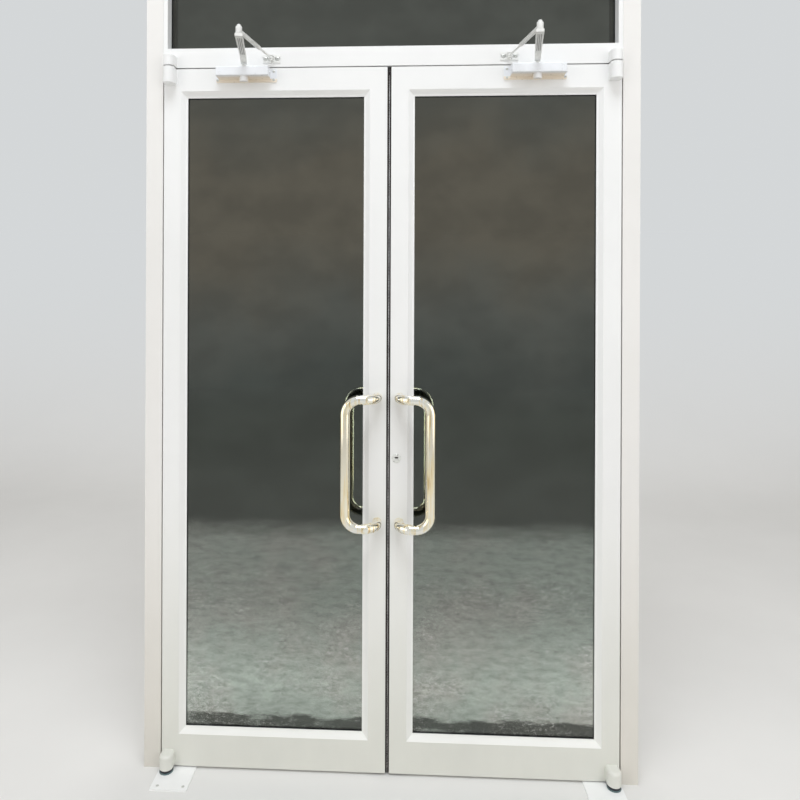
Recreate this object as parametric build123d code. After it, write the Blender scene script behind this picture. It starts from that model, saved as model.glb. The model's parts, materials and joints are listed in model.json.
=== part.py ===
from build123d import *
from math import acos, atan2, cos, hypot, sin
import os

# Double-leaf glass shopfront door in its aluminium frame, with a fixed light over it.
# Millimetres. X runs along the wall, Y into the doorway, Z up.
# The origin is on the floor line, midway between the jambs, in the front face plane.
# The leaves swing out over the front, towards -Y, on offset pivots at their outer corners.

# Frame
outer_width = 1600.0
overall_height = 2750.0
jamb_face = 55.0
head_face = 55.0
transom_face = 50.0
light_height = 344.0
frame_depth = 100.0
frame_wall = 2.5
stop_width = 16.0
stop_seal_thickness = 2.6
stop_seal_width = 9.0
stop_seal_inset = 2.0
stop_seal_clearance = 0.5
fixing_radius = 4.25
fixing_access_radius = 7.0
fixing_depth = 28.0
fixing_first_height = 250.0
fixing_spacing = 600.0
fixing_count = 4

# Leaves
leaf_thickness = 46.0
leaf_wall = 2.0
floor_gap = 8.0
top_gap = 4.0
hinge_gap = 4.0
centre_gap = 13.0
stile_face = 56.0
top_rail_face = 73.0
bottom_rail_face = 104.0
front_pile_gap = 3.6
rear_pile_gap = 6.2
pile_base_width = 7.0
pile_base_height = 1.2
pile_width = 4.6
pile_setback = 8.0

# Glazing of the leaves
ledge_width = 20.0
bevel_width = 14.0
bevel_fall = 10.0
lip_fall = 12.0
front_bead_depth = 15.0
bead_wall = 1.6
gasket_thickness = 3.0
gasket_width = 5.0
gasket_setback = 0.6
glass_thickness = 8.0
glass_edge_gap = 8.0

# Fixed light
light_bead_face = 14.0
light_bead_wall = 1.5
light_bead_setback = 2.0
light_glass_thickness = 8.0
light_glass_edge_gap = 4.0

# Corner pivots
pivot_inset = 23.0
pivot_out = 20.0
pin_radius = 6.0
running_clearance = 0.05
pin_end_clearance = 2.0
top_barrel_radius = 19.0
bottom_barrel_radius = 22.0
barrel_chamfer = 1.0
bracket_height = 34.0
top_block_height = 52.0
bottom_block_height = 46.0
bottom_block_lift = 16.0
pin_engagement = 32.0
floor_plate_thickness = 4.0
floor_plate_width = 118.0
floor_plate_side_gap = 1.0
floor_plate_front = 103.0
floor_plate_back = 30.0
floor_plate_corner = 3.0
floor_screw_margin_x = 16.0
floor_screw_margin_y = 18.0
floor_screw_spacing_x = 82.0
floor_screw_spacing_y = 97.0
floor_screw_radius = 2.75
floor_screw_sink_radius = 5.5
bearing_radius = 22.0
bearing_race_radius = 19.5
bearing_clearance = 0.3

# Door closers
closer_length = 170.0
closer_height = 29.5
closer_reach = 50.0
closer_edge_radius = 3.0
closer_from_hinge = 246.0
closer_drop = 8.0
flange_thickness = 4.0
flange_ear_latch = 20.0
flange_ear_hinge = 10.0
flange_height = 42.0
flange_rise = 3.0
flange_corner = 4.0
ear_screw_spacing = 27.0
ear_screw_radius = 2.5
ear_screw_head_radius = 4.4
ear_screw_head_height = 2.6
ear_screw_length = 16.0
screw_hole_clearance = 0.2
spindle_from_hinge = 249.0
spindle_out = 30.0
spindle_radius = 6.0
spindle_square = 8.4
spindle_depth = 24.0
spindle_cap_radius = 14.0
spindle_cap_height = 16.0
spindle_boss_radius = 11.0
spindle_boss_height = 2.0
valve_radius = 4.5
valve_height = 1.5
arm_length = 215.0
forearm_length = 235.0
arm_lift = 3.0
arm_thickness = 6.0
arm_rise = 9.6
arm_ramp_start = 16.0
arm_ramp_end = 48.0
arm_spindle_radius = 9.5
arm_elbow_radius = 12.0
arm_groove_width = 2.4
arm_groove_depth = 1.2
arm_groove_pitch = 4.6
arm_groove_margin = 22.0
arm_base_extra = 2.0
square_clearance = 0.1
elbow_clearance = 0.4
elbow_radius = 9.5
elbow_height = 21.0
elbow_knob_radius = 6.5
elbow_knob_height = 7.0
elbow_knob_fillet = 2.5
forearm_tube_radius = 6.5
forearm_tube_length = 140.0
forearm_lift = 10.0
rod_radius = 3.5
rod_overlap = 30.0
rod_clearance = 0.2
rod_nut_radius = 6.0
rod_nut_length = 5.0
rod_eye_radius = 7.0
rod_eye_height = 8.0
foot_from_hinge = 333.0
foot_out = 12.0
foot_width = 56.0
foot_height = 24.5
foot_thickness = 3.0
foot_slot_width = 10.0
foot_slot_length = 17.0
foot_ear_radius = 8.0
foot_ear_thickness = 3.0
foot_ear_gap = 11.0
foot_pin_radius = 3.0
foot_pin_tail = 9.0
foot_screw_head_radius = 6.5
foot_screw_head_height = 2.5
foot_screw_radius = 2.5
foot_screw_length = 14.0

# Pull handles
handle_radius = 16.0
handle_wall = 1.5
handle_standoff = 66.5
handle_offset = 99.0
handle_centres = 406.0
handle_height = 1024.0
handle_bend = 46.0
handle_mount_in = 29.5
stud_radius = 5.0
stud_hole_clearance = 0.3
stud_boss_length = 18.0
stud_boss_clearance = 0.2

# Lock in the right leaf
lock_rise = 5.0
lock_backset = 20.5
lock_collar_radius = 14.75
lock_collar_height = 2.0
lock_collar_chamfer = 0.8
lock_barrel_radius = 13.0
lock_barrel_clearance = 0.2
lock_plug_radius = 8.5
lock_plug_clearance = 0.08
keyway_width = 10.0
keyway_height = 2.4
keyway_depth = 6.0
cam_reach = 13.0
cam_width = 8.0
cam_thickness = 5.0
case_depth = 40.0
case_thickness = 20.0
case_wall = 2.0
case_above = 26.0
case_below = 96.0
faceplate_above = 40.0
faceplate_below = 110.0
faceplate_clearance = 0.2
bolt_drop = 72.0
bolt_pivot_in = 19.0
bolt_length = 46.0
bolt_width = 14.0
bolt_thickness = 7.0
bolt_hook = 5.0
bolt_pin_radius = 4.0
bolt_slot_clearance = 1.0
strike_margin = 14.0
strike_box_depth = 34.0
strike_box_wall = 1.5
strike_box_clearance = 1.5

# Frame members
half_width = outer_width / 2
opening_half = half_width - jamb_face
head_bottom = overall_height - head_face
transom_top = head_bottom - light_height
transom_bottom = transom_top - transom_face
leaf_top = transom_bottom - top_gap
leaf_bottom = floor_gap

# Pivot axes, and how far the back corner of a swinging leaf reaches into the doorway
leaf_outer = opening_half - hinge_gap
leaf_inner = centre_gap / 2
pivot_x = leaf_outer - pivot_inset
pivot_y = -pivot_out
floor_plate_inner = opening_half - floor_plate_side_gap - floor_plate_width
back_reach = hypot(pivot_inset, pivot_out + leaf_thickness) - pivot_out
stop_front = back_reach + stop_seal_clearance + stop_seal_thickness
stop_inner = opening_half - stop_width

# Leaf glazing pocket: the webs of stiles and rails bound it
pocket_inner = leaf_inner + stile_face
pocket_outer = leaf_outer - stile_face
pocket_bottom = leaf_bottom + bottom_rail_face
pocket_top = leaf_top - top_rail_face
glass_front = front_bead_depth + gasket_thickness
rear_ledge_front = glass_front + glass_thickness + gasket_thickness
bevel_slant = hypot(bevel_width, bevel_fall) / bevel_width

# Closer levels
closer_top = leaf_top - closer_drop
closer_bottom = closer_top - closer_height
arm_bottom = leaf_top + arm_lift
elbow_bottom = arm_bottom + arm_rise + arm_thickness + elbow_clearance
forearm_level = elbow_bottom + forearm_lift
closer_centre = pivot_x - closer_from_hinge
spindle_x = pivot_x - spindle_from_hinge
spindle_y = -spindle_out
foot_x = pivot_x - foot_from_hinge
foot_y = -foot_out

# Handle and lock places
handle_mount_x = leaf_inner + handle_mount_in
lock_x = leaf_inner + lock_backset
lock_height = handle_height + lock_rise
mid_thickness = leaf_thickness / 2
bolt_pivot_x = leaf_inner + bolt_pivot_in
bolt_pivot_z = lock_height - bolt_drop


def prism(axis, start, end, outline, *voids):
    """Carry a flat outline with voids along X, Y or Z; its points are in the other two axes."""
    place = {
        "X": lambda a, b: (start, a, b),
        "Y": lambda a, b: (a, start, b),
        "Z": lambda a, b: (a, b, start),
    }[axis]
    travel = {
        "X": Vector(end - start, 0, 0),
        "Y": Vector(0, end - start, 0),
        "Z": Vector(0, 0, end - start),
    }[axis]
    loops = [Wire.make_polygon([place(a, b) for a, b in loop]) for loop in (outline, *voids)]
    return Solid.extrude(Face(loops[0], loops[1:]), travel)


def rectangle(a0, a1, b0, b1):
    """Corner points of an upright rectangle."""
    return [(a0, b0), (a1, b0), (a1, b1), (a0, b1)]


def block(x0, x1, y0, y1, z0, z1):
    """A plain block between two corners."""
    return prism("Z", z0, z1, rectangle(x0, x1, y0, y1))


def rod(axis, x, y, z, radius, length):
    """A round bar that starts at a point and runs along +Y, +Z or another direction."""
    return Solid.make_cylinder(radius, length, Plane((x, y, z), z_dir=axis))


def on_side(side, shape):
    """The shape as drawn for the right leaf, or its mirror image for the left leaf."""
    return shape if side > 0 else mirror(shape, about=Plane.YZ)


def whole(shape):
    """The single solid of a Boolean result."""
    return shape.solid()


# Aluminium frame

def jamb_right():
    """Right jamb: a box section with a hollow stop leg behind the leaf, drilled for wall fixings."""
    outline = [
        (opening_half, 0),
        (half_width, 0),
        (half_width, frame_depth),
        (stop_inner, frame_depth),
        (stop_inner, stop_front),
        (opening_half, stop_front),
    ]
    box_void = rectangle(
        opening_half + frame_wall, half_width - frame_wall, frame_wall, frame_depth - frame_wall
    )
    leg_void = rectangle(
        stop_inner + frame_wall, opening_half, stop_front + frame_wall, frame_depth - frame_wall
    )
    jamb = prism("Z", 0, overall_height, outline, box_void, leg_void)
    for i in range(fixing_count):
        height = fixing_first_height + i * fixing_spacing
        middle = (opening_half + half_width) / 2
        jamb -= rod((1, 0, 0), middle, fixing_depth, height, fixing_radius, jamb_face)
        jamb -= rod((-1, 0, 0), middle, fixing_depth, height, fixing_access_radius, jamb_face)
    return whole(jamb)


def crossbar(bottom, top, leg_below, leg_above):
    """A rail between the jambs, notched round their stop legs, with its own legs where wanted."""
    outline = rectangle(0, frame_depth, bottom, top)
    void = rectangle(frame_wall, frame_depth - frame_wall, bottom + frame_wall, top - frame_wall)
    bar = prism("X", -opening_half, opening_half, outline, void)
    legs = []
    if leg_below:
        legs.append((bottom - stop_width, bottom, bottom - stop_width + frame_wall, bottom))
    if leg_above:
        legs.append((top, top + stop_width, top, top + stop_width - frame_wall))
    for low, high, void_low, void_high in legs:
        leg = rectangle(stop_front, frame_depth, low, high)
        hollow = rectangle(stop_front + frame_wall, frame_depth - frame_wall, void_low, void_high)
        bar += prism("X", -stop_inner, stop_inner, leg) - prism("X", -stop_inner, stop_inner, hollow)
    for x0, x1 in ((-opening_half, -stop_inner), (stop_inner, opening_half)):
        bar -= block(x0, x1, stop_front, frame_depth, bottom, top)
    return whole(bar)


def transom_bar():
    """Rail over the leaves, drilled for the closer feet's screws."""
    bar = crossbar(transom_bottom, transom_top, True, True)
    for x in foot_screw_places():
        for way in (-1, 1):
            hole = foot_screw_radius + screw_hole_clearance
            bar -= rod((0, 1, 0), way * x, 0, forearm_level, hole, frame_wall)
    return whole(bar)


def stop_seals():
    """Rubber strips on the stop legs that the closed leaves face: two jambs and the transom."""
    front = stop_front - stop_seal_thickness
    inner = stop_inner + stop_seal_inset
    outer = inner + stop_seal_width
    upright = prism("Z", floor_gap, transom_bottom - stop_width, rectangle(inner, outer, front, stop_front))
    low = transom_bottom - stop_width + stop_seal_inset
    level = rectangle(front, stop_front, low, low + stop_seal_width)
    across = prism("X", -stop_inner, stop_inner, level)
    return [upright, on_side(-1, upright), across]


# Glazing beads, gaskets and panes

def bead_frame(x0, x1, z0, z1, face, outline, voids=()):
    """Four beads with mitred corners round a pocket. Outline points are (in from edge, depth)."""
    mitres = {
        "bottom": [(x0, z0), (x1, z0), (x1 - face, z0 + face), (x0 + face, z0 + face)],
        "top": [(x0, z1), (x1, z1), (x1 - face, z1 - face), (x0 + face, z1 - face)],
        "near": [(x0, z0), (x0, z1), (x0 + face, z1 - face), (x0 + face, z0 + face)],
        "far": [(x1, z0), (x1, z1), (x1 - face, z1 - face), (x1 - face, z0 + face)],
    }
    turns = {
        "bottom": ("X", x0, x1, lambda u, y: (y, z0 + u)),
        "top": ("X", x0, x1, lambda u, y: (y, z1 - u)),
        "near": ("Z", z0, z1, lambda u, y: (x0 + u, y)),
        "far": ("Z", z0, z1, lambda u, y: (x1 - u, y)),
    }
    beads = []
    for name, corners in mitres.items():
        axis, start, end, turn = turns[name]
        loops = [[turn(u, y) for u, y in loop] for loop in (outline, *voids)]
        bar = prism(axis, start, end, *loops)
        beads.append(whole(bar & prism("Y", -frame_depth, frame_depth, corners)))
    return beads


def leaf_beads():
    """Snap-in beads on the front of a leaf: a bevel falling to a lip that holds the gasket."""
    outline = [
        (0, 0),
        (bevel_width, bevel_fall),
        (ledge_width, lip_fall),
        (ledge_width, front_bead_depth),
        (bevel_width, front_bead_depth),
        (bevel_width, bevel_fall + bead_wall),
        (bead_wall, bead_wall * (bevel_slant + bevel_fall / bevel_width)),
        (bead_wall, front_bead_depth),
        (0, front_bead_depth),
    ]
    return bead_frame(pocket_inner, pocket_outer, pocket_bottom, pocket_top, ledge_width, outline)


def light_beads():
    """Hollow box beads in front of the fixed light's pane."""
    back = stop_front - 2 * gasket_thickness - light_glass_thickness
    outline = rectangle(0, light_bead_face, light_bead_setback, back)
    wall = light_bead_wall
    void = rectangle(wall, light_bead_face - wall, light_bead_setback + wall, back - wall)
    return bead_frame(
        -opening_half, opening_half, transom_top, head_bottom, light_bead_face, outline, [void]
    )


def gasket_ring(x0, x1, z0, z1, sight, y0, y1):
    """A flat rubber ring just outside the sight line of a pane."""
    outer = sight - gasket_setback - gasket_width
    inner = sight - gasket_setback
    return prism(
        "Y",
        y0,
        y1,
        rectangle(x0 + outer, x1 - outer, z0 + outer, z1 - outer),
        rectangle(x0 + inner, x1 - inner, z0 + inner, z1 - inner),
    )


def leaf_gaskets():
    """Front and rear gaskets of a leaf's pane."""
    pocket = (pocket_inner, pocket_outer, pocket_bottom, pocket_top, ledge_width)
    back = glass_front + glass_thickness
    return [
        gasket_ring(*pocket, glass_front - gasket_thickness, glass_front),
        gasket_ring(*pocket, back, back + gasket_thickness),
    ]


def light_gaskets():
    """Front and rear gaskets of the fixed light's pane."""
    pocket = (-opening_half, opening_half, transom_top, head_bottom, light_bead_face)
    back = stop_front - gasket_thickness
    front = back - light_glass_thickness
    return [
        gasket_ring(*pocket, front - gasket_thickness, front),
        gasket_ring(*pocket, back, stop_front),
    ]


def leaf_glass():
    """Toughened pane of a leaf."""
    x0 = pocket_inner + glass_edge_gap
    x1 = pocket_outer - glass_edge_gap
    z0 = pocket_bottom + glass_edge_gap
    z1 = pocket_top - glass_edge_gap
    return block(x0, x1, glass_front, glass_front + glass_thickness, z0, z1)


def light_glass():
    """Pane of the fixed light."""
    reach = opening_half - light_glass_edge_gap
    back = stop_front - gasket_thickness
    z0 = transom_top + light_glass_edge_gap
    z1 = head_bottom - light_glass_edge_gap
    return block(-reach, reach, back - light_glass_thickness, back, z0, z1)


# Stiles and rails

def tube_loops(face):
    """Outline and void of a leaf member's box, as (in from edge, depth)."""
    return [
        rectangle(0, face, 0, leaf_thickness),
        rectangle(leaf_wall, face - leaf_wall, leaf_wall, leaf_thickness - leaf_wall),
    ]


def ledge_loops(face):
    """Outline and void of the rear glazing ledge, as (in from edge, depth)."""
    back = leaf_thickness
    outline = [
        (face, rear_ledge_front),
        (face + ledge_width, rear_ledge_front),
        (face + ledge_width, back - lip_fall),
        (face + bevel_width, back - bevel_fall),
        (face, back),
    ]
    void = [
        (face, rear_ledge_front + bead_wall),
        (face + bevel_width, rear_ledge_front + bead_wall),
        (face + bevel_width, back - bevel_fall - bead_wall),
        (face, back - bead_wall * bevel_slant),
    ]
    return [outline, void]


def stile(edge, inward):
    """Upright of a leaf, full height; its ledge runs between the rails."""
    tube = [[(edge + inward * u, y) for u, y in loop] for loop in tube_loops(stile_face)]
    outline, void = [[(edge + inward * u, y) for u, y in loop] for loop in ledge_loops(stile_face)]
    ledge = prism("Z", pocket_bottom, pocket_top, outline)
    ledge -= prism("Z", pocket_bottom, pocket_top, void)
    return prism("Z", leaf_bottom, leaf_top, *tube) + ledge


def rail(edge, inward, face):
    """Level member of a leaf between its stiles; its ledge runs between the stiles' ledges."""
    tube = [[(y, edge + inward * u) for u, y in loop] for loop in tube_loops(face)]
    outline, void = [[(y, edge + inward * u) for u, y in loop] for loop in ledge_loops(face)]
    ends = (pocket_inner + ledge_width, pocket_outer - ledge_width)
    ledge = prism("X", *ends, outline) - prism("X", *ends, void)
    return whole(prism("X", pocket_inner, pocket_outer, *tube) + ledge)


def meeting_stile(side):
    """Meeting stile, drilled for the handle studs and cut for the lock or for its strike."""
    shape = stile(leaf_inner, 1)
    for height in stud_heights():
        hole = stud_radius + stud_hole_clearance
        shape -= rod((0, 1, 0), handle_mount_x, -1, height, hole, leaf_thickness + 2)
    plate = rectangle(*faceplate_depths(faceplate_clearance), *faceplate_heights(faceplate_clearance))
    if side > 0:
        hole = lock_barrel_radius + lock_barrel_clearance
        shape -= rod((0, 1, 0), lock_x, -1, lock_height, hole, leaf_thickness + 2)
    else:
        plate = rectangle(*faceplate_depths(faceplate_clearance), *strike_heights(faceplate_clearance))
    shape -= prism("X", 0, leaf_inner + leaf_wall, plate)
    return whole(on_side(side, shape))


def pile_seals():
    """Brush seals down the meeting edge: a base strip with the pile standing on it."""
    seals = []
    for centre, gap in ((pile_setback, front_pile_gap), (leaf_thickness - pile_setback, rear_pile_gap)):
        root = leaf_inner - pile_base_height
        half_base = pile_base_width / 2
        half_pile = pile_width / 2
        outline = [
            (leaf_inner, centre - half_base),
            (root, centre - half_base),
            (root, centre - half_pile),
            (gap / 2, centre - half_pile),
            (gap / 2, centre + half_pile),
            (root, centre + half_pile),
            (root, centre + half_base),
            (leaf_inner, centre + half_base),
        ]
        seals.append(prism("Z", leaf_bottom, leaf_top, outline))
    return seals


# Corner pivots

def barrel(radius, z0, z1):
    """D-shaped block on the pivot axis: a half round front with straight flanks to the face."""
    left = pivot_x - radius
    right = pivot_x + radius
    flanks = Polyline((left, pivot_y, z0), (left, 0, z0), (right, 0, z0), (right, pivot_y, z0))
    nose = ThreePointArc((right, pivot_y, z0), (pivot_x, pivot_y - radius, z0), (left, pivot_y, z0))
    shape = extrude(make_face(flanks + nose), amount=z1 - z0, dir=(0, 0, 1))
    rims = shape.edges().filter_by(GeomType.CIRCLE)
    return chamfer(rims, barrel_chamfer)


def top_bracket():
    """Upper half of the top pivot, screwed to the transom, with the pin that the leaf hangs on."""
    shape = barrel(top_barrel_radius, transom_bottom, transom_bottom + bracket_height)
    reach = top_gap + pin_engagement - pin_end_clearance
    pin = rod((0, 0, -1), pivot_x, pivot_y, transom_bottom, pin_radius, reach)
    return whole(shape + pin)


def top_block():
    """Lower half of the top pivot on the leaf, bored for the pin."""
    shape = barrel(top_barrel_radius, leaf_top - top_block_height, leaf_top)
    bore = rod((0, 0, -1), pivot_x, pivot_y, leaf_top, pin_radius + running_clearance, pin_engagement)
    return whole(shape - bore)


def bottom_block():
    """Bottom pivot block on the leaf, bored from below for the floor pin."""
    shape = barrel(bottom_barrel_radius, bottom_block_lift, bottom_block_lift + bottom_block_height)
    bore_radius = pin_radius + running_clearance
    bore = rod((0, 0, 1), pivot_x, pivot_y, bottom_block_lift, bore_radius, pin_engagement)
    return whole(shape - bore)


def floor_screw_places():
    """Centres of the four countersunk holes in the right floor plate."""
    x0 = floor_plate_inner + floor_screw_margin_x
    y0 = -floor_plate_front + floor_screw_margin_y
    corners = [(i, j) for i in (0, 1) for j in (0, 1)]
    return [(x0 + i * floor_screw_spacing_x, y0 + j * floor_screw_spacing_y) for i, j in corners]


def floor_pivot():
    """Floor plate with the pin that carries the leaf, countersunk for four floor screws."""
    plate = block(
        floor_plate_inner,
        floor_plate_inner + floor_plate_width,
        -floor_plate_front,
        floor_plate_back,
        0,
        floor_plate_thickness,
    )
    plate = fillet(plate.edges().filter_by(Axis.Z), floor_plate_corner)
    sink_depth = floor_screw_sink_radius - floor_screw_radius
    for x, y in floor_screw_places():
        plate -= rod((0, 0, 1), x, y, 0, floor_screw_radius, floor_plate_thickness)
        base = Plane((x, y, floor_plate_thickness - sink_depth))
        plate -= Solid.make_cone(floor_screw_radius, floor_screw_sink_radius, sink_depth, base)
    reach = bottom_block_lift + pin_engagement - pin_end_clearance - floor_plate_thickness
    return whole(plate + rod((0, 0, 1), pivot_x, pivot_y, floor_plate_thickness, pin_radius, reach))


def bearing():
    """Thrust ring round the floor pin: the wide part stays under the leaf, the race beside it."""
    base = floor_plate_thickness
    ring_height = leaf_bottom - bearing_clearance - base
    race_height = bottom_block_lift - bearing_clearance - base
    ring = rod((0, 0, 1), pivot_x, pivot_y, base, bearing_radius, ring_height)
    race = rod((0, 0, 1), pivot_x, pivot_y, base, bearing_race_radius, race_height)
    bore = rod((0, 0, 1), pivot_x, pivot_y, base, pin_radius + bearing_clearance, race_height)
    return whole(ring + race - bore)


# Door closers

def ear_screw_places():
    """Centres of the four screws through the flange ears."""
    columns = (
        closer_centre - closer_length / 2 - flange_ear_latch / 2,
        closer_centre + closer_length / 2 + flange_ear_hinge / 2,
    )
    middle = closer_top + flange_rise - flange_height / 2
    half = ear_screw_spacing / 2
    return [(x, middle + way * half) for x in columns for way in (-1, 1)]


def closer_body():
    """Closer housing cast with its flange, spindle boss on top and spindle cap below."""
    half = closer_length / 2
    housing = block(
        closer_centre - half,
        closer_centre + half,
        -closer_reach,
        -flange_thickness,
        closer_bottom,
        closer_top,
    )
    front = housing.faces().sort_by(Axis.Y)[0]
    housing = fillet(front.edges(), closer_edge_radius)
    flange_top = closer_top + flange_rise
    flange = block(
        closer_centre - half - flange_ear_latch,
        closer_centre + half + flange_ear_hinge,
        -flange_thickness,
        0,
        flange_top - flange_height,
        flange_top,
    )
    flange = fillet(flange.edges().filter_by(Axis.Y), flange_corner)
    body = housing + flange
    cap = rod((0, 0, -1), spindle_x, spindle_y, closer_bottom, spindle_cap_radius, spindle_cap_height)
    boss = rod((0, 0, 1), spindle_x, spindle_y, closer_top, spindle_boss_radius, spindle_boss_height)
    valve_y = -(closer_reach + flange_thickness) / 2
    valve_z = (closer_bottom + closer_top) / 2
    valve = rod((-1, 0, 0), closer_centre - half, valve_y, valve_z, valve_radius, valve_height)
    body += [cap, boss, valve]
    bore_top = closer_top + spindle_boss_height
    bore_radius = spindle_radius + running_clearance
    body -= rod((0, 0, -1), spindle_x, spindle_y, bore_top, bore_radius, spindle_depth)
    for x, z in ear_screw_places():
        hole = ear_screw_radius + screw_hole_clearance
        body -= rod((0, 1, 0), x, -flange_thickness, z, hole, flange_thickness)
    return whole(body)


def closer_screws():
    """Pan-head screws that fix the flange ears to the top rail's front wall."""
    screws = []
    for x, z in ear_screw_places():
        head_front = -flange_thickness - ear_screw_head_height
        head = rod((0, 1, 0), x, head_front, z, ear_screw_head_radius, ear_screw_head_height)
        shank = rod((0, 1, 0), x, -flange_thickness, z, ear_screw_radius, ear_screw_length)
        screws.append(whole(head + shank))
    return screws


def elbow():
    """Place of the elbow: the arms' lengths from the spindle and from the foot meet there."""
    dx = foot_x - spindle_x
    dy = foot_y - spindle_y
    span = hypot(dx, dy)
    turn = acos((arm_length ** 2 + span ** 2 - forearm_length ** 2) / (2 * arm_length * span))
    angle = atan2(dy, dx) + turn
    return spindle_x + arm_length * cos(angle), spindle_y + arm_length * sin(angle)


def arm_plane(x, y, towards_x, towards_y, level):
    """A plane at a joint whose X runs towards the next joint and whose Z is up."""
    return Plane((x, y, level), x_dir=(towards_x - x, towards_y - y, 0), z_dir=(0, 0, 1))


def main_arm():
    """Pressed steel arm, cranked up from the spindle, with ribs underneath and round ends."""
    ex, ey = elbow()
    plan = make_hull(
        (Circle(arm_spindle_radius) + Pos(arm_length, 0) * Circle(arm_elbow_radius)).edges()
    )
    height = arm_rise + arm_thickness
    bar = extrude(plan, amount=height)
    base_top = arm_thickness + arm_base_extra
    side = [
        (-arm_spindle_radius, 0),
        (arm_ramp_start, 0),
        (arm_ramp_end, arm_rise),
        (arm_length + arm_elbow_radius, arm_rise),
        (arm_length + arm_elbow_radius, height),
        (arm_ramp_end - base_top, height),
        (arm_ramp_start - base_top, base_top),
        (-arm_spindle_radius, base_top),
    ]
    loop = Wire.make_polygon([(s, -arm_elbow_radius, z) for s, z in side])
    bar &= Solid.extrude(Face(loop), Vector(0, 2 * arm_elbow_radius, 0))
    start = arm_ramp_end + arm_groove_margin
    end = arm_length - arm_groove_margin
    for i in (-1, 0, 1):
        middle = i * arm_groove_pitch
        y0 = middle - arm_groove_width / 2
        bar -= block(start, end, y0, y0 + arm_groove_width, 0, arm_rise + arm_groove_depth)
    half = (spindle_square + square_clearance) / 2
    bar -= block(-half, half, -half, half, 0, base_top)
    return whole(arm_plane(spindle_x, spindle_y, ex, ey, arm_bottom) * bar)


def spindle():
    """Closer spindle: round in the housing, square where the arm sits on it."""
    ex, ey = elbow()
    bottom = closer_top + spindle_boss_height - spindle_depth + pin_end_clearance
    shaft = rod((0, 0, 1), spindle_x, spindle_y, bottom, spindle_radius, arm_bottom - bottom)
    half = spindle_square / 2
    square = block(-half, half, -half, half, 0, arm_thickness + arm_base_extra)
    return whole(shaft + arm_plane(spindle_x, spindle_y, ex, ey, arm_bottom) * square)


def forearm_tube():
    """Forearm: the elbow eye with its knob, and a tube bored for the adjusting rod."""
    ex, ey = elbow()
    eye = rod((0, 0, 1), 0, 0, 0, elbow_radius, elbow_height)
    knob = rod((0, 0, 1), 0, 0, elbow_height, elbow_knob_radius, elbow_knob_height)
    knob = fillet(knob.faces().sort_by(Axis.Z)[-1].edges(), elbow_knob_fillet)
    tube = rod((1, 0, 0), 0, 0, forearm_lift, forearm_tube_radius, forearm_tube_length)
    bore_start = forearm_tube_length - rod_overlap - rod_clearance
    bore = rod((1, 0, 0), bore_start, 0, forearm_lift, rod_radius + rod_clearance, forearm_tube_length)
    shape = eye + knob + tube - bore
    return whole(arm_plane(ex, ey, foot_x, foot_y, elbow_bottom) * shape)


def forearm_rod():
    """Threaded rod of the forearm: a lock nut at the tube and an eye on the foot's pin."""
    ex, ey = elbow()
    start = forearm_tube_length - rod_overlap
    shaft = rod((1, 0, 0), start, 0, 0, rod_radius, forearm_length - start)
    nut_plane = Plane((forearm_tube_length, 0, 0), z_dir=(1, 0, 0))
    nut = extrude(nut_plane * RegularPolygon(rod_nut_radius, 6), amount=rod_nut_length)
    eye = rod((0, 0, 1), forearm_length, 0, -rod_eye_height / 2, rod_eye_radius, rod_eye_height)
    hole_radius = foot_pin_radius + running_clearance
    hole = rod((0, 0, 1), forearm_length, 0, -rod_eye_height / 2, hole_radius, rod_eye_height)
    shape = shaft + nut + eye - hole
    return whole(arm_plane(ex, ey, foot_x, foot_y, forearm_level) * shape)


def closer_foot():
    """Bracket on the transom: a plate with an open slot at each end, two ears and their pin."""
    half_width_foot = foot_width / 2
    half_height = foot_height / 2
    z0 = forearm_level - half_height
    z1 = forearm_level + half_height
    plate = block(foot_x - half_width_foot, foot_x + half_width_foot, -foot_thickness, 0, z0, z1)
    slot0 = forearm_level - foot_slot_width / 2
    slot1 = forearm_level + foot_slot_width / 2
    for way in (-1, 1):
        end = foot_x + way * half_width_foot
        inner = end - way * foot_slot_length
        plate -= block(min(end, inner), max(end, inner), -foot_thickness, 0, slot0, slot1)
    shape = plate
    for way in (-1, 1):
        level = forearm_level + way * foot_ear_gap / 2
        low = min(level, level + way * foot_ear_thickness)
        ear = rod((0, 0, 1), foot_x, foot_y, low, foot_ear_radius, foot_ear_thickness)
        neck = block(
            foot_x - foot_ear_radius, foot_x + foot_ear_radius, foot_y, 0, low, low + foot_ear_thickness
        )
        shape += [ear, neck]
    bottom = forearm_level - foot_ear_gap / 2 - foot_ear_thickness - foot_pin_tail
    top = forearm_level + foot_ear_gap / 2 + foot_ear_thickness + 1
    return whole(shape + rod((0, 0, 1), foot_x, foot_y, bottom, foot_pin_radius, top - bottom))


def foot_screw_places():
    """Centres along X of the two screws in the right foot's slots."""
    return [foot_x + way * (foot_width - foot_slot_length) / 2 for way in (-1, 1)]


def foot_screws():
    """Pan-head screws in the foot's slots."""
    screws = []
    for x in foot_screw_places():
        head_front = -foot_thickness - foot_screw_head_height
        head = rod((0, 1, 0), x, head_front, forearm_level, foot_screw_head_radius, foot_screw_head_height)
        shank = rod((0, 1, 0), x, -foot_thickness, forearm_level, foot_screw_radius, foot_screw_length)
        screws.append(whole(head + shank))
    return screws


# Pull handles

def stud_heights():
    """Levels of the two handle mounts."""
    return [handle_height - handle_centres / 2, handle_height + handle_centres / 2]


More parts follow.
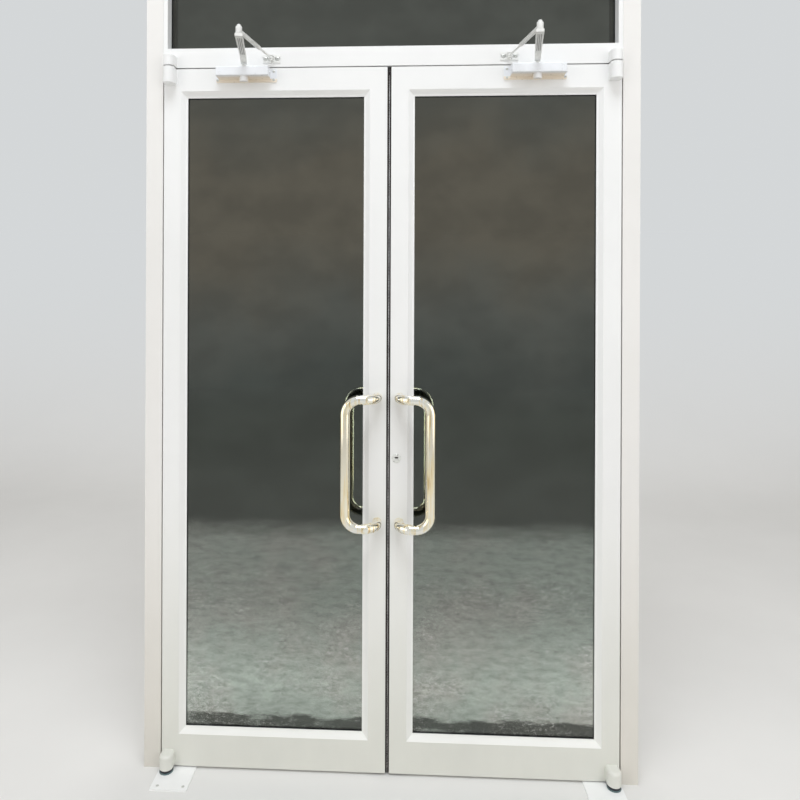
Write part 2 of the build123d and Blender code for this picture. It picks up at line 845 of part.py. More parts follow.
def front_handle():
    """Bent tube: out from the stile, sideways over the glass, and down as the grip."""
    low, high = stud_heights()
    near = handle_mount_x
    far = handle_mount_x + handle_offset
    out = -handle_standoff
    upper = [(near, 0, high), (near, out, high), (far, out, high)]
    lower = [(far, out, low), (near, out, low), (near, 0, low)]
    path = FilletPolyline(*upper, *lower, radius=handle_bend)
    ring = Circle(handle_radius) - Circle(handle_radius - handle_wall)
    return whole(sweep(Plane(path @ 0, z_dir=path % 0) * ring, path=path))


def rear_handle():
    """The same tube turned back to front on the other face of the leaf."""
    return whole(mirror(front_handle(), about=Plane.XZ.offset(-mid_thickness)))


def handle_studs():
    """Through studs with a boss at each end that the tube ends slide onto."""
    boss_radius = handle_radius - handle_wall - stud_boss_clearance
    studs = []
    for height in stud_heights():
        shank = rod((0, 1, 0), handle_mount_x, 0, height, stud_radius, leaf_thickness)
        front = rod((0, -1, 0), handle_mount_x, 0, height, boss_radius, stud_boss_length)
        rear = rod((0, 1, 0), handle_mount_x, leaf_thickness, height, boss_radius, stud_boss_length)
        studs.append(whole(shank + front + rear))
    return studs


# Lock

def faceplate_depths(clearance):
    """Front and back of the lock's faceplate, widened by a clearance."""
    half = case_thickness / 2 + clearance
    return mid_thickness - half, mid_thickness + half


def faceplate_heights(clearance):
    """Bottom and top of the lock's faceplate, widened by a clearance."""
    return lock_height - faceplate_below - clearance, lock_height + faceplate_above + clearance


def slot_heights():
    """Bottom and top of the slot that the bolt swings out through."""
    low = bolt_pivot_z - bolt_width / 2 - bolt_hook - bolt_slot_clearance
    high = bolt_pivot_z + hypot(bolt_length, bolt_width / 2 + bolt_hook) + bolt_slot_clearance
    return low, high


def strike_heights(clearance):
    """Bottom and top of the strike plate, widened by a clearance."""
    low, high = slot_heights()
    return low - strike_margin - clearance, high + strike_margin + clearance


def slot_depths():
    """Front and back of the bolt's slot."""
    half = bolt_thickness / 2 + bolt_slot_clearance
    return mid_thickness - half, mid_thickness + half


def lock_case():
    """Mortise case: an open-edged box with its faceplate, cylinder holes and the bolt's pin."""
    y0 = mid_thickness - case_thickness / 2
    y1 = mid_thickness + case_thickness / 2
    z0 = lock_height - case_below
    z1 = lock_height + case_above
    back = leaf_inner + case_depth
    inside = leaf_inner + leaf_wall
    case = block(inside, back, y0, y1, z0, z1)
    case += prism("X", leaf_inner, inside, rectangle(y0, y1, *faceplate_heights(0)))
    case -= block(
        inside, back - case_wall, y0 + case_wall, y1 - case_wall, z0 + case_wall, z1 - case_wall
    )
    case -= prism("X", leaf_inner, inside, rectangle(*slot_depths(), *slot_heights()))
    hole = lock_barrel_radius + lock_barrel_clearance
    case -= rod((0, 1, 0), lock_x, y0, lock_height, hole, case_thickness)
    return whole(case + rod((0, 1, 0), bolt_pivot_x, y0, bolt_pivot_z, bolt_pin_radius, case_thickness))


def lock_cylinders():
    """Front and rear cylinders: a collar on the face and a barrel into the case."""
    barrel_length = (leaf_thickness - case_thickness) / 2 + case_wall
    shapes = []
    for face, way in ((0, 1), (leaf_thickness, -1)):
        collar = rod((0, -way, 0), lock_x, face, lock_height, lock_collar_radius, lock_collar_height)
        rim = collar.edges().filter_by(GeomType.CIRCLE).sort_by(Axis.Y)
        collar = chamfer(rim[0] if way > 0 else rim[-1], lock_collar_chamfer)
        body = rod((0, way, 0), lock_x, face, lock_height, lock_barrel_radius, barrel_length)
        bore_radius = lock_plug_radius + lock_plug_clearance
        start = face - way * lock_collar_height
        bore = rod((0, way, 0), lock_x, start, lock_height, bore_radius, lock_collar_height + barrel_length)
        shapes.append(whole(collar + body - bore))
    return shapes


def lock_plug():
    """The two plugs joined by a tailpiece with the cam, and a level keyway in each end."""
    length = leaf_thickness + 2 * lock_collar_height
    plug = rod((0, 1, 0), lock_x, -lock_collar_height, lock_height, lock_plug_radius, length)
    y0 = mid_thickness - cam_thickness / 2
    half = cam_width / 2
    cam = block(lock_x - half, lock_x + half, y0, y0 + cam_thickness, lock_height, lock_height + cam_reach)
    plug += cam
    wide = keyway_width / 2
    tall = keyway_height / 2
    for start in (-lock_collar_height, leaf_thickness + lock_collar_height - keyway_depth):
        plug -= block(
            lock_x - wide, lock_x + wide, start, start + keyway_depth, lock_height - tall, lock_height + tall
        )
    return whole(plug)


def hook_bolt():
    """Swing bolt, upright in the case at rest, with a hook at its free end."""
    y0 = mid_thickness - bolt_thickness / 2
    half = bolt_width / 2
    x0 = bolt_pivot_x - half
    x1 = bolt_pivot_x + half
    tip = bolt_pivot_z + bolt_length
    outline = [
        (x0, bolt_pivot_z),
        (x1, bolt_pivot_z),
        (x1, tip - bolt_hook),
        (x1 - bolt_hook, tip),
        (x0 - bolt_hook, tip),
        (x0 - bolt_hook, tip - 2 * bolt_hook),
        (x0, tip - 2 * bolt_hook),
    ]
    bolt = prism("Y", y0, y0 + bolt_thickness, outline)
    bolt += rod((0, 1, 0), bolt_pivot_x, y0, bolt_pivot_z, half, bolt_thickness)
    hole = bolt_pin_radius + running_clearance
    return whole(bolt - rod((0, 1, 0), bolt_pivot_x, y0, bolt_pivot_z, hole, bolt_thickness))


def strike_plate():
    """Strike in the left leaf's meeting edge, slotted for the hook bolt, with a dust box behind."""
    outer = rectangle(*faceplate_depths(0), *strike_heights(0))
    slot = rectangle(*slot_depths(), *slot_heights())
    back = -leaf_inner - leaf_wall
    end = -leaf_inner - strike_box_depth
    (y0, y1), (z0, z1) = slot_depths(), slot_heights()
    room = strike_box_clearance
    wall = strike_box_clearance + strike_box_wall
    shell = block(end, back, y0 - wall, y1 + wall, z0 - wall, z1 + wall)
    shell -= block(end + strike_box_wall, back, y0 - room, y1 + room, z0 - room, z1 + room)
    return whole(prism("X", back, -leaf_inner, outer, slot) + shell)


# Assembly

def frame_nodes():
    """Every piece that is fixed to the building."""
    right = jamb_right()
    nodes = {
        "right_jamb": [right],
        "left_jamb": [on_side(-1, right)],
        "transom_bar": [transom_bar()],
        "head_rail": [crossbar(head_bottom, overall_height, True, False)],
        "stop_seals": stop_seals(),
        "transom_glass": [light_glass()],
        "transom_beads": light_beads(),
        "transom_gaskets": light_gaskets(),
    }
    for side, name in ((1, "right"), (-1, "left")):
        nodes[f"{name}_top_pivot_bracket"] = [on_side(side, top_bracket())]
        nodes[f"{name}_floor_pivot"] = [on_side(side, floor_pivot())]
        nodes[f"{name}_closer_foot"] = [on_side(side, closer_foot())]
    nodes["pivot_bearings"] = [on_side(side, bearing()) for side in (1, -1)]
    nodes["closer_foot_screws"] = [on_side(side, screw) for side in (1, -1) for screw in foot_screws()]
    return nodes


def leaf_nodes(side, name):
    """Every piece of one leaf, its closer and its handles."""
    top = rail(leaf_top, -1, top_rail_face)
    bottom = rail(leaf_bottom, 1, bottom_rail_face)
    for x, z in ear_screw_places():
        top -= rod((0, 1, 0), x, 0, z, ear_screw_radius + screw_hole_clearance, leaf_wall)
    return {
        f"{name}_hinge_stile": [on_side(side, whole(stile(leaf_outer, -1)))],
        f"{name}_meeting_stile": [meeting_stile(side)],
        f"{name}_top_rail": [on_side(side, whole(top))],
        f"{name}_bottom_rail": [on_side(side, bottom)],
        f"{name}_glass": [on_side(side, leaf_glass())],
        f"{name}_glazing_beads": [on_side(side, bead) for bead in leaf_beads()],
        f"{name}_glass_gaskets": [on_side(side, ring) for ring in leaf_gaskets()],
        f"{name}_pile_seals": [on_side(side, seal) for seal in pile_seals()],
        f"{name}_top_pivot_block": [on_side(side, top_block())],
        f"{name}_bottom_pivot_block": [on_side(side, bottom_block())],
        f"{name}_closer_body": [on_side(side, closer_body())],
        f"{name}_closer_screws": [on_side(side, screw) for screw in closer_screws()],
        f"{name}_closer_spindle": [on_side(side, spindle())],
        f"{name}_main_arm": [on_side(side, main_arm())],
        f"{name}_forearm_tube": [on_side(side, forearm_tube())],
        f"{name}_forearm_rod": [on_side(side, forearm_rod())],
        f"{name}_front_handle": [on_side(side, front_handle())],
        f"{name}_rear_handle": [on_side(side, rear_handle())],
        f"{name}_handle_studs": [on_side(side, stud) for stud in handle_studs()],
    }


def lock_nodes():
    """The lock in the right leaf and its strike in the left one."""
    return {
        "lock_case": [lock_case()],
        "lock_cylinders": lock_cylinders(),
        "lock_plug": [lock_plug()],
        "hook_bolt": [hook_bolt()],
        "strike_plate": [strike_plate()],
    }


os.makedirs("parts", exist_ok=True)
nodes = {**frame_nodes(), **leaf_nodes(1, "right"), **leaf_nodes(-1, "left"), **lock_nodes()}
for node, solids in nodes.items():
    shape = solids[0] if len(solids) == 1 else Compound(solids)
    export_step(shape, f"parts/{node}.step")
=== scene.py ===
import json
from math import cos, pi, radians, sin

import bpy
import numpy as np
from bpy.props import FloatProperty, FloatVectorProperty, IntProperty, PointerProperty
from mathutils import Matrix, Vector


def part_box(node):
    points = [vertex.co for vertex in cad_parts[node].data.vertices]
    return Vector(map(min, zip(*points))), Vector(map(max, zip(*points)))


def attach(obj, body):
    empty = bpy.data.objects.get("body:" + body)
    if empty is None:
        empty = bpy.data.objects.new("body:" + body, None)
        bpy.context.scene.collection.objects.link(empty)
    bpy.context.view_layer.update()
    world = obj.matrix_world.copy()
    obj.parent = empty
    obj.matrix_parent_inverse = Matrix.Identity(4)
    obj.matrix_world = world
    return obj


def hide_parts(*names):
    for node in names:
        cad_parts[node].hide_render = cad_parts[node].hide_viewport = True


bl_info = {
    "name": "Glass Shopfront Door",
    "version": (1, 0, 0),
    "blender": (4, 5, 0),
    "location": "View3D > Sidebar > Glass Door",
    "description": "Finishes and fine parts for a glazed double door in an aluminium frame",
    "category": "Object",
}

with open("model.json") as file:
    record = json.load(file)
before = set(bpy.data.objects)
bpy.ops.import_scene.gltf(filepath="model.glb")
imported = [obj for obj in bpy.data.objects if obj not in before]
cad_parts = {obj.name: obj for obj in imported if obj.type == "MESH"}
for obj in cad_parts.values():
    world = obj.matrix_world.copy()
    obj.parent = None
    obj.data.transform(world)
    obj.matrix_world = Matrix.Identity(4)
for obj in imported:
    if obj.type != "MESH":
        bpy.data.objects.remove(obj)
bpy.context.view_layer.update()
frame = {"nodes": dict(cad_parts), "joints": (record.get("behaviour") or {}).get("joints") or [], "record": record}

# Each side's name and its direction along X, the turn past which an edge stays sharp, and a millimetre
SIDES = (("right", 1), ("left", -1))
SHARP_ANGLE = radians(38)
MM = 0.001


# Sizes and colours

def paint(name, description, default):
    """A colour that the sidebar shows."""
    return FloatVectorProperty(
        name=name, description=description, default=default, subtype="COLOR", size=3, min=0, max=1)


class DoorFinishes(bpy.types.PropertyGroup):
    """Colours of the door's finishes."""

    powder_coat: paint("Powder coat", "Colour of the frame and the leaves", (0.86, 0.865, 0.86))
    closer_paint: paint("Closer paint", "Colour of the closer housings", (0.84, 0.86, 0.89))
    pane_dark: paint("Pane, dark", "Darkest tint in the panes", (0.077, 0.081, 0.066))
    pane_pale: paint("Pane, pale", "Palest tint in the panes, near the floor", (0.69, 0.75, 0.69))
    polished: paint("Polished steel", "Colour of the pull handles", (0.95, 0.945, 0.92))
    arm_silver: paint("Arm silver", "Colour of the closer arms and their feet", (0.84, 0.845, 0.82))
    zinc: paint("Zinc", "Colour of the screws and the lock", (0.70, 0.71, 0.68))
    rubber: paint("Rubber", "Colour of the gaskets", (0.022, 0.022, 0.024))
    pile: paint("Pile", "Colour of the brush seals", (0.036, 0.030, 0.029))


class DoorFittings(bpy.types.PropertyGroup):
    """Sizes of the fittings that are made here."""

    handle_radius: FloatProperty(
        name="Handle tube radius", description="Outside radius of the pull handle's tube",
        default=0.016, unit="LENGTH")
    handle_wall: FloatProperty(
        name="Handle tube wall", description="Wall of the pull handle's tube",
        default=0.0015, unit="LENGTH")
    handle_bend: FloatProperty(
        name="Handle bend", description="Bend radius of the handle on its centre line",
        default=0.046, unit="LENGTH")
    block_rounding: FloatProperty(
        name="Block rounding", description="Rounding of the bottom pivot blocks' upper edge",
        default=0.010, unit="LENGTH")
    thread_pitch: FloatProperty(
        name="Thread pitch", description="Pitch of the forearm rod's thread", default=0.0016, unit="LENGTH")
    thread_depth: FloatProperty(
        name="Thread depth", description="Depth of the forearm rod's thread", default=0.0003, unit="LENGTH")
    bristles: IntProperty(
        name="Bristle tufts", description="Tufts along each brush seal", default=420, min=20)


class DoorStage(bpy.types.PropertyGroup):
    """Camera and light."""

    camera_place: FloatVectorProperty(
        name="Camera place", description="Where the camera stands", subtype="TRANSLATION",
        size=3, default=(0.0456, -2.1526, 1.5744))
    camera_turn: FloatProperty(
        name="Camera turn", description="Turn of the camera from straight ahead", subtype="ANGLE",
        default=0.0466)
    camera_roll: FloatProperty(
        name="Camera roll", description="Roll of the camera about its own axis", subtype="ANGLE",
        default=0.0038)
    lens: FloatProperty(
        name="Lens", description="Focal length in millimetres", default=29.898, unit="CAMERA")
    shift_x: FloatProperty(name="Shift X", description="Sideways shift of the frame", default=0.03525)
    shift_y: FloatProperty(name="Shift Y", description="Upward shift of the frame", default=-0.13788)
    backdrop: paint("Backdrop", "Colour of the backdrop as seen", (0.66, 0.68, 0.69))
    floor: paint("Floor", "Colour of the floor", (0.78, 0.775, 0.755))


# Shapes

def shell(name, grid, wrap_rows=False, wrap_columns=True):
    """A mesh object from a grid of points, rows x columns x 3.

    Neighbouring points join into four-sided faces. The columns wrap round unless the grid is an open
    sheet, and the rows wrap where asked. Where only the columns do, each end closes on a pole at the
    mean of its row. If the signed volume, the sum of a . (b x c) / 6 over the triangles, is negative,
    every face is turned round.
    """
    grid = np.asarray(grid, dtype=float)
    rows, columns = grid.shape[:2]
    points = grid.reshape(-1, 3)
    row = np.arange(rows if wrap_rows else rows - 1)[:, None]
    column = np.arange(columns if wrap_columns else columns - 1)[None, :]
    row_after, column_after = (row + 1) % rows, (column + 1) % columns
    quads = np.stack([row * columns + column, row * columns + column_after,
                      row_after * columns + column_after, row_after * columns + column], -1)
    quads = quads.reshape(-1, 4)
    faces = [quads]
    if wrap_columns and not wrap_rows:
        ring = np.arange(columns)
        after = (ring + 1) % columns
        low, high = len(points), len(points) + 1
        points = np.vstack([points, grid[0].mean(0), grid[-1].mean(0)])
        last = (rows - 1) * columns
        faces.append(np.stack([after, ring, np.full(columns, low)], -1))
        faces.append(np.stack([last + ring, last + after, np.full(columns, high)], -1))
    triangles = np.vstack([quads[:, [0, 1, 2]], quads[:, [0, 2, 3]]] + faces[1:])
    a, b, c = points[triangles[:, 0]], points[triangles[:, 1]], points[triangles[:, 2]]
    if np.einsum("ij,ij->i", a, np.cross(b, c)).sum() < 0:
        faces = [part[:, ::-1] for part in faces]
    mesh = bpy.data.meshes.new(name)
    mesh.from_pydata(points.tolist(), [], [face for part in faces for face in part.tolist()])
    mesh.validate()
    mesh.shade_smooth()
    mesh.set_sharp_from_angle(angle=SHARP_ANGLE)
    piece = bpy.data.objects.new(name, mesh)
    bpy.context.scene.collection.objects.link(piece)
    return piece


def joined(name, parts):
    """One object from several, their meshes put together."""
    bpy.ops.object.select_all(action="DESELECT")
    for part in parts:
        part.select_set(True)
    bpy.context.view_layer.objects.active = parts[0]
    bpy.ops.object.join()
    parts[0].name = name
    parts[0].data.name = name
    return parts[0]


def once_round(count):
    """Angles at equal steps once round."""
    return np.linspace(0, 2 * pi, count, endpoint=False)


def about_z(radius, angle, height):
    """Points about the Z axis: (r cos a, r sin a, z)."""
    return np.stack(np.broadcast_arrays(radius * np.cos(angle), radius * np.sin(angle), height), -1)


def turned(profile, round_count=48):
    """Points of a profile of (radius, height) pairs turned about Z."""
    profile = np.asarray(profile, dtype=float)
    return about_z(profile[:, :1], once_round(round_count), profile[:, 1:])


def placed(grid, origin, x_axis, z_axis):
    """The grid carried into a frame: origin + x X + y Y + z Z, with X made square to Z and Y = Z x X."""
    z_axis = np.asarray(z_axis, float) / np.linalg.norm(z_axis)
    x_axis = np.asarray(x_axis, float) - np.dot(x_axis, z_axis) * z_axis
    x_axis = x_axis / np.linalg.norm(x_axis)
    y_axis = np.cross(z_axis, x_axis)
    return np.asarray(origin, float) + grid @ np.stack([x_axis, y_axis, z_axis])


def rounded_route(corners, radius):
    """Points and directions along straight runs joined by arcs of one radius.

    At a corner the arc's centre lies radius / cos(half turn) along the inner bisector, and the
    arc turns at a steady rate from the incoming to the outgoing direction. It starts and ends
    radius x tan(half turn) from the corner.
    """
    run_count, arc_count = 6, 22
    corners = np.asarray(corners, float)
    legs = np.diff(corners, axis=0)
    ways = legs / np.linalg.norm(legs, axis=1)[:, None]
    points, heads = [], []
    start = corners[0]
    for i, way in enumerate(ways):
        last = i == len(ways) - 1
        turn = 0 if last else np.arccos(np.clip(np.dot(way, ways[i + 1]), -1, 1))
        end = corners[i + 1] - way * radius * np.tan(turn / 2)
        share = np.linspace(0, 1, run_count)[:, None]
        points.append(start + (end - start) * share)
        heads.append(np.repeat(way[None], run_count, 0))
        if last:
            break
        side = ways[i + 1] - np.dot(ways[i + 1], way) * way
        side = side / np.linalg.norm(side)
        angle = np.linspace(0, turn, arc_count)[1:-1, None]
        points.append(end + radius * (np.sin(angle) * way + (1 - np.cos(angle)) * side))
        heads.append(np.cos(angle) * way + np.sin(angle) * side)
        start = corners[i + 1] + ways[i + 1] * radius * np.tan(turn / 2)
    return np.vstack(points), np.vstack(heads)


def tube(points, heads, radius):
    """Rings of one radius round a route: p + r (n cos a + b sin a), n and b square to its direction.

    The normal n is square to a reference direction too, which no part of a route runs along.
    """
    round_count, reference = 40, (0.46, 0.57, 0.68)
    n = np.cross(heads, reference)
    n = n / np.linalg.norm(n, axis=1)[:, None]
    b = np.cross(heads, n)
    angle = once_round(round_count)[None, :, None]
    return points[:, None] + radius * (n[:, None] * np.cos(angle) + b[:, None] * np.sin(angle))


# Finishes

class Finish:
    """A material and short calls that add nodes to it."""

    def __init__(self, name, **values):
        self.material = bpy.data.materials.new(name)
        self.material.use_nodes = True
        self.tree = self.material.node_tree
        self.shader = self.tree.nodes["Principled BSDF"]
        for key, value in values.items():
            self.shader.inputs[key.replace("_", " ")].default_value = value
        self.place = self.add("ShaderNodeTexCoord").outputs["Object"]

    def add(self, kind, **settings):
        node = self.tree.nodes.new(kind)
        for key, value in settings.items():
            setattr(node, key, value)
        return node

    def link(self, source, target):
        self.tree.links.new(source, target)

    def stretched(self, scale):
        """Object coordinates with each axis multiplied by its own factor."""
        node = self.add("ShaderNodeMapping")
        node.inputs["Scale"].default_value = scale
        self.link(self.place, node.inputs["Vector"])
        return node.outputs["Vector"]

    def noise(self, scale, detail=3.0, roughness=0.55, stretch=None):
        node = self.add("ShaderNodeTexNoise")
        node.inputs["Scale"].default_value = scale
        node.inputs["Detail"].default_value = detail
        node.inputs["Roughness"].default_value = roughness
        self.link(self.stretched(stretch) if stretch else self.place, node.inputs["Vector"])
        return node.outputs["Fac"]

    def ramp(self, source, stops):
        """A colour for each value of the source, blended between the stops."""
        node = self.add("ShaderNodeValToRGB")
        elements = node.color_ramp.elements
        while len(elements) < len(stops):
            elements.new(0.5)
        for element, (position, colour) in zip(elements, stops):
            element.position = position
            element.color = (*colour, 1)
        self.link(source, node.inputs["Fac"])
        return node.outputs["Color"]

    def span(self, source, low, high, start, end, clamp=True):
        """The source carried in a straight line from low and high to start and end."""
        node = self.add("ShaderNodeMapRange", clamp=clamp)
        for key, value in zip(("From Min", "From Max", "To Min", "To Max"), (low, high, start, end)):
            node.inputs[key].default_value = value
        self.link(source, node.inputs["Value"])
        return node.outputs["Result"]

    def axis(self, name):
        node = self.add("ShaderNodeSeparateXYZ")
        self.link(self.place, node.inputs["Vector"])
        return node.outputs[name]

    def height(self, start, end):
        """0 up to the first height and 1 from the second on, which may also be the lower one."""
        return self.span(self.axis("Z"), start, end, 0.0, 1.0)

    def math(self, operation, a, b):
        node = self.add("ShaderNodeMath", operation=operation)
        self.link(a, node.inputs[0])
        self.link(b, node.inputs[1])
        return node.outputs[0]

    def times(self, a, b):
        return self.math("MULTIPLY", a, b)

    def sum(self, a, b):
        return self.math("ADD", a, b)

    def mix(self, share, a, b, blend="MIX"):
        """Colour a, with b laid over it by the share. Each of the three is a socket or a value."""
        node = self.add("ShaderNodeMix", data_type="RGBA", blend_type=blend)
        for key, kind, value in (("Factor", "VALUE", share), ("A", "RGBA", a), ("B", "RGBA", b)):
            socket = next(s for s in node.inputs if s.name == key and s.type == kind)
            if isinstance(value, bpy.types.NodeSocket):
                self.link(value, socket)
            else:
                socket.default_value = (*value, 1) if kind == "RGBA" else value
        return next(s for s in node.outputs if s.type == "RGBA")

    def colour(self, source):
        self.link(source, self.shader.inputs["Base Color"])

    def roughness(self, low, high, scale, reach=(0.3, 0.7), **settings):
        """Roughness between two values, which a noise spreads over the surface."""
        spread = self.span(self.noise(scale, **settings), *reach, low, high)
        self.link(spread, self.shader.inputs["Roughness"])

    def bump(self, depth, strength, scale, **settings):
        """A skin of the given depth from a noise. Returns the material, since it comes last."""
        node = self.add("ShaderNodeBump")
        node.inputs["Distance"].default_value = depth
        node.inputs["Strength"].default_value = strength
        self.link(self.noise(scale, **settings), node.inputs["Height"])
        self.link(node.outputs["Normal"], self.shader.inputs["Normal"])
        return self.material


def shade(colour, factor):
    """A colour made lighter or darker."""
    return tuple(min(1.0, part * factor) for part in colour)


def tinted(colour, *factors):
    """A colour with its red, green and blue each multiplied by a factor."""
    return tuple(part * factor for part, factor in zip(colour, factors))


def powder_coat(name, colour, grime=0.5, floor_shade=(0.87, 0.87, 0.81)):
    """Powder coat: orange peel, faint clouding, smudges that fade up from the floor, and painted shade that
    darkens the coat towards the floor.
    """
    f = Finish(name, IOR=1.45)
    cloud = f.noise(1.7, detail=4.0)
    base = f.ramp(cloud, [(0.3, shade(colour, 0.965)), (0.55, colour), (0.8, shade(colour, 1.02))])
    drips = f.noise(4.0, detail=5.0, stretch=(1.6, 1.6, 0.7))
    low = f.height(0.55, 0.0)
    smudge = f.times(f.span(drips, 0.40, 0.80, 0.0, 1.0), f.span(low, 0.0, 1.0, 0.08, grime))
    # Painted shade: the coat grows darker towards the floor, where less light falls
    shaded_base = f.mix(f.height(0.95, 0.12), base, floor_shade, blend="MULTIPLY")
    f.colour(f.mix(smudge, shaded_base, tinted(colour, 0.74, 0.745, 0.70)))
    f.roughness(0.30, 0.42, 60.0)
    return f.bump(0.00012, 0.35, 900.0, detail=2.0)


def closer_enamel(name, colour, underside):
    """Smooth enamel over a casting: faint clouding, a pebbled skin, and painted warm bounce light on the
    underside.

    The painted light lies under the given height and grows from the front edge to the flange.
    """
    f = Finish(name, Metallic=0.08)
    clean = f.ramp(f.noise(24.0), [(0.3, shade(colour, 0.93)), (0.7, shade(colour, 1.03))])
    front, flange, edge = -0.046, -0.024, 0.0006
    inward = f.span(f.axis("Y"), front, flange, 0.1, 1.0)
    # Painted warm bounce light on the underside, strongest towards the flange
    warm_bounce = f.times(f.height(underside + 2 * edge, underside + edge), inward)
    f.colour(f.mix(warm_bounce, clean, tinted(colour, 1.02, 0.90, 0.74)))
    f.roughness(0.26, 0.40, 90.0)
    return f.bump(0.00015, 0.4, 1400.0, detail=2.0)


def pane_glass(name, dark, pale):
    """Tinted float glass with a dusty layer: dark above the handles and pale in a band near the floor. The dark
    tint is painted shade that stands for a dim room behind the glass.

    The tint follows the height in bands, painted reflections, which a broad noise lifts and lowers a little. The
    pale layer is dust and a painted view of the lit floor through the glass. It starts under the handles, grows
    paler towards the floor and ends over a dark strip, which it half covers in places. Fine level grain lies over
    it, and light and dark flecks grow denser towards the floor.
    """
    f = Finish(name, IOR=1.5)
    broad = f.noise(1.1, detail=5.0, roughness=0.6, stretch=(1.2, 1.0, 1.0))
    height = f.height(0.0, 2.5)
    level = f.sum(height, f.span(broad, 0.38, 0.62, -0.035, 0.035))
    # The deep and warm bands are painted reflections in the glass
    deep, warm = tinted(dark, 0.60, 0.68, 0.68), tinted(dark, 1.42, 1.18, 1.0)
    bands = f.ramp(level, [(0.38, deep), (0.50, deep), (0.58, dark),
                           (0.70, warm), (0.80, warm), (0.92, dark)])
    cloud = f.ramp(f.noise(5.0, detail=6.0, roughness=0.62, stretch=(1.0, 1.0, 1.5)),
                   [(0.40, (0.88,) * 3), (0.60, (1.12, 1.12, 1.14))])
    upper = f.mix(1.0, bands, cloud, blend="MULTIPLY")
    tints = f.ramp(f.noise(2.4, detail=5.0, roughness=0.65),
                   [(0.42, tinted(pale, 0.95, 1.0, 0.99)), (0.58, tinted(pale, 1.04, 0.99, 1.0))])
    grain = f.ramp(f.noise(42.0, detail=10.0, roughness=0.85, stretch=(0.45, 1.0, 1.4)),
                   [(0.40, (0.66,) * 3), (0.50, (0.97,) * 3), (0.60, (1.12,) * 3)])
    lower = f.mix(1.0, tints, grain, blend="MULTIPLY")
    ragged = f.noise(16.0, detail=7.0, roughness=0.75, stretch=(0.4, 1.0, 1.6))
    edge = f.sum(height, f.span(ragged, 0.38, 0.62, -0.005, 0.005))
    strip_top = (0.0665, 0.0690)
    amounts = ((strip_top[0], 0.12), (strip_top[1], 0.90), (0.11, 1.0), (0.17, 0.70),
               (0.22, 0.46), (0.300, 0.32), (0.328, 0.0))
    # The pale layer is dust and a painted view of the lit floor through the glass
    dust_and_floor_view = f.ramp(edge, [(place, (amount,) * 3) for place, amount in amounts])
    blots = f.noise(6.0, detail=7.0, roughness=0.7, stretch=(0.7, 1.0, 1.6))
    strip = f.times(f.span(height, *strip_top, 1.0, 0.0), f.span(blots, 0.50, 0.56, 0.0, 0.6))
    covered = f.mix(strip, dust_and_floor_view, (0.75,) * 3)
    skin = f.mix(covered, upper, lower)
    flecks = f.noise(95.0, detail=8.0, roughness=0.85, stretch=(0.7, 1.0, 1.2))
    patches = f.span(f.noise(4.5, detail=6.0, roughness=0.7), 0.45, 0.57, 0.1, 1.0)
    near_floor = f.times(f.height(0.75, 0.25), patches)
    skin = f.mix(f.times(near_floor, f.span(flecks, 0.54, 0.59, 0.0, 0.9)), skin, shade(pale, 1.45))
    skin = f.mix(f.times(near_floor, f.span(flecks, 0.46, 0.41, 0.0, 0.7)), skin, shade(dark, 1.6))
    f.colour(skin)
    f.link(f.span(covered, 0.0, 1.0, 1.0, 0.80), f.shader.inputs["Transmission Weight"])
    f.roughness(0.0, 0.05, 14.0, reach=(0.45, 0.8), detail=5.0)
    return f.material


def polished_steel(name, colour, bottom, top):
    """Polished tube: bright, with painted reflections of warm light: warmer along the grip, with gold and brown
    streaks, and lengthwise lines.

    The grip is the upright run between the two heights, and its painted tone fades in over its ends.
    """
    f = Finish(name, Metallic=1.0)
    # Painted reflections of warm light: a warmer grip and gold and brown streaks
    fade, gold, brown = 0.05, (1.0, 0.93, 0.76), (0.80, 0.63, 0.40)
    grip = f.times(f.height(bottom, bottom + fade), f.height(top, top - fade))
    base = f.mix(grip, colour, tinted(colour, 1.0, 0.955, 0.82))
    streaks = f.noise(48.0, detail=2.0, roughness=0.5, stretch=(2.6, 2.6, 0.16))
    tints = f.ramp(streaks, [(0.48, (1.0, 1.0, 1.0)), (0.55, gold), (0.60, gold), (0.66, brown)])
    f.colour(f.mix(1.0, base, tints, blend="MULTIPLY"))
    f.roughness(0.06, 0.18, 30.0, stretch=(8.0, 8.0, 0.4))
    return f.bump(0.00003, 0.25, 420.0, stretch=(2.0, 2.0, 0.05))


def arm_silver(name, colour):
    """Silver paint on pressed steel: fine grain, and shade where an arm's grooves lie deep."""
    f = Finish(name, Metallic=0.12)
    grain = f.ramp(f.noise(70.0, detail=5.0),
                   [(0.3, shade(colour, 0.88)), (0.55, colour), (0.8, shade(colour, 1.06))])
    deep = f.add("ShaderNodeAttribute", attribute_name="groove").outputs["Fac"]
    f.colour(f.mix(deep, grain, shade(colour, 0.30)))
    f.roughness(0.30, 0.46, 120.0)
    return f.bump(0.00008, 0.4, 600.0)


def key_nickel(name, colour, keyhole, half_width, half_height):
    """Nickel with fine scratches, and painted shade inside the key's slot.

    The slot is where (|x - x0| / half width)^4 + (|z - z0| / half height)^4 is under one.
    """
    f = Finish(name, Metallic=0.55)
    sides = []
    for axis, middle, half in (("X", keyhole[0], half_width), ("Z", keyhole[1], half_height)):
        share = f.span(f.axis(axis), middle, middle + half, 0.0, 1.0, clamp=False)
        squared = f.times(share, share)
        sides.append(f.times(squared, squared))
    # Painted shade inside the key's slot
    inside = f.span(f.sum(*sides), 1.15, 0.85, 0.0, 1.0)
    metal = f.ramp(f.noise(160.0, detail=4.0), [(0.3, shade(colour, 0.90)), (0.7, colour)])
    f.colour(f.mix(inside, metal, (0.045, 0.030, 0.030)))
    f.roughness(0.22, 0.38, 220.0)
    return f.bump(0.00005, 0.4, 700.0)


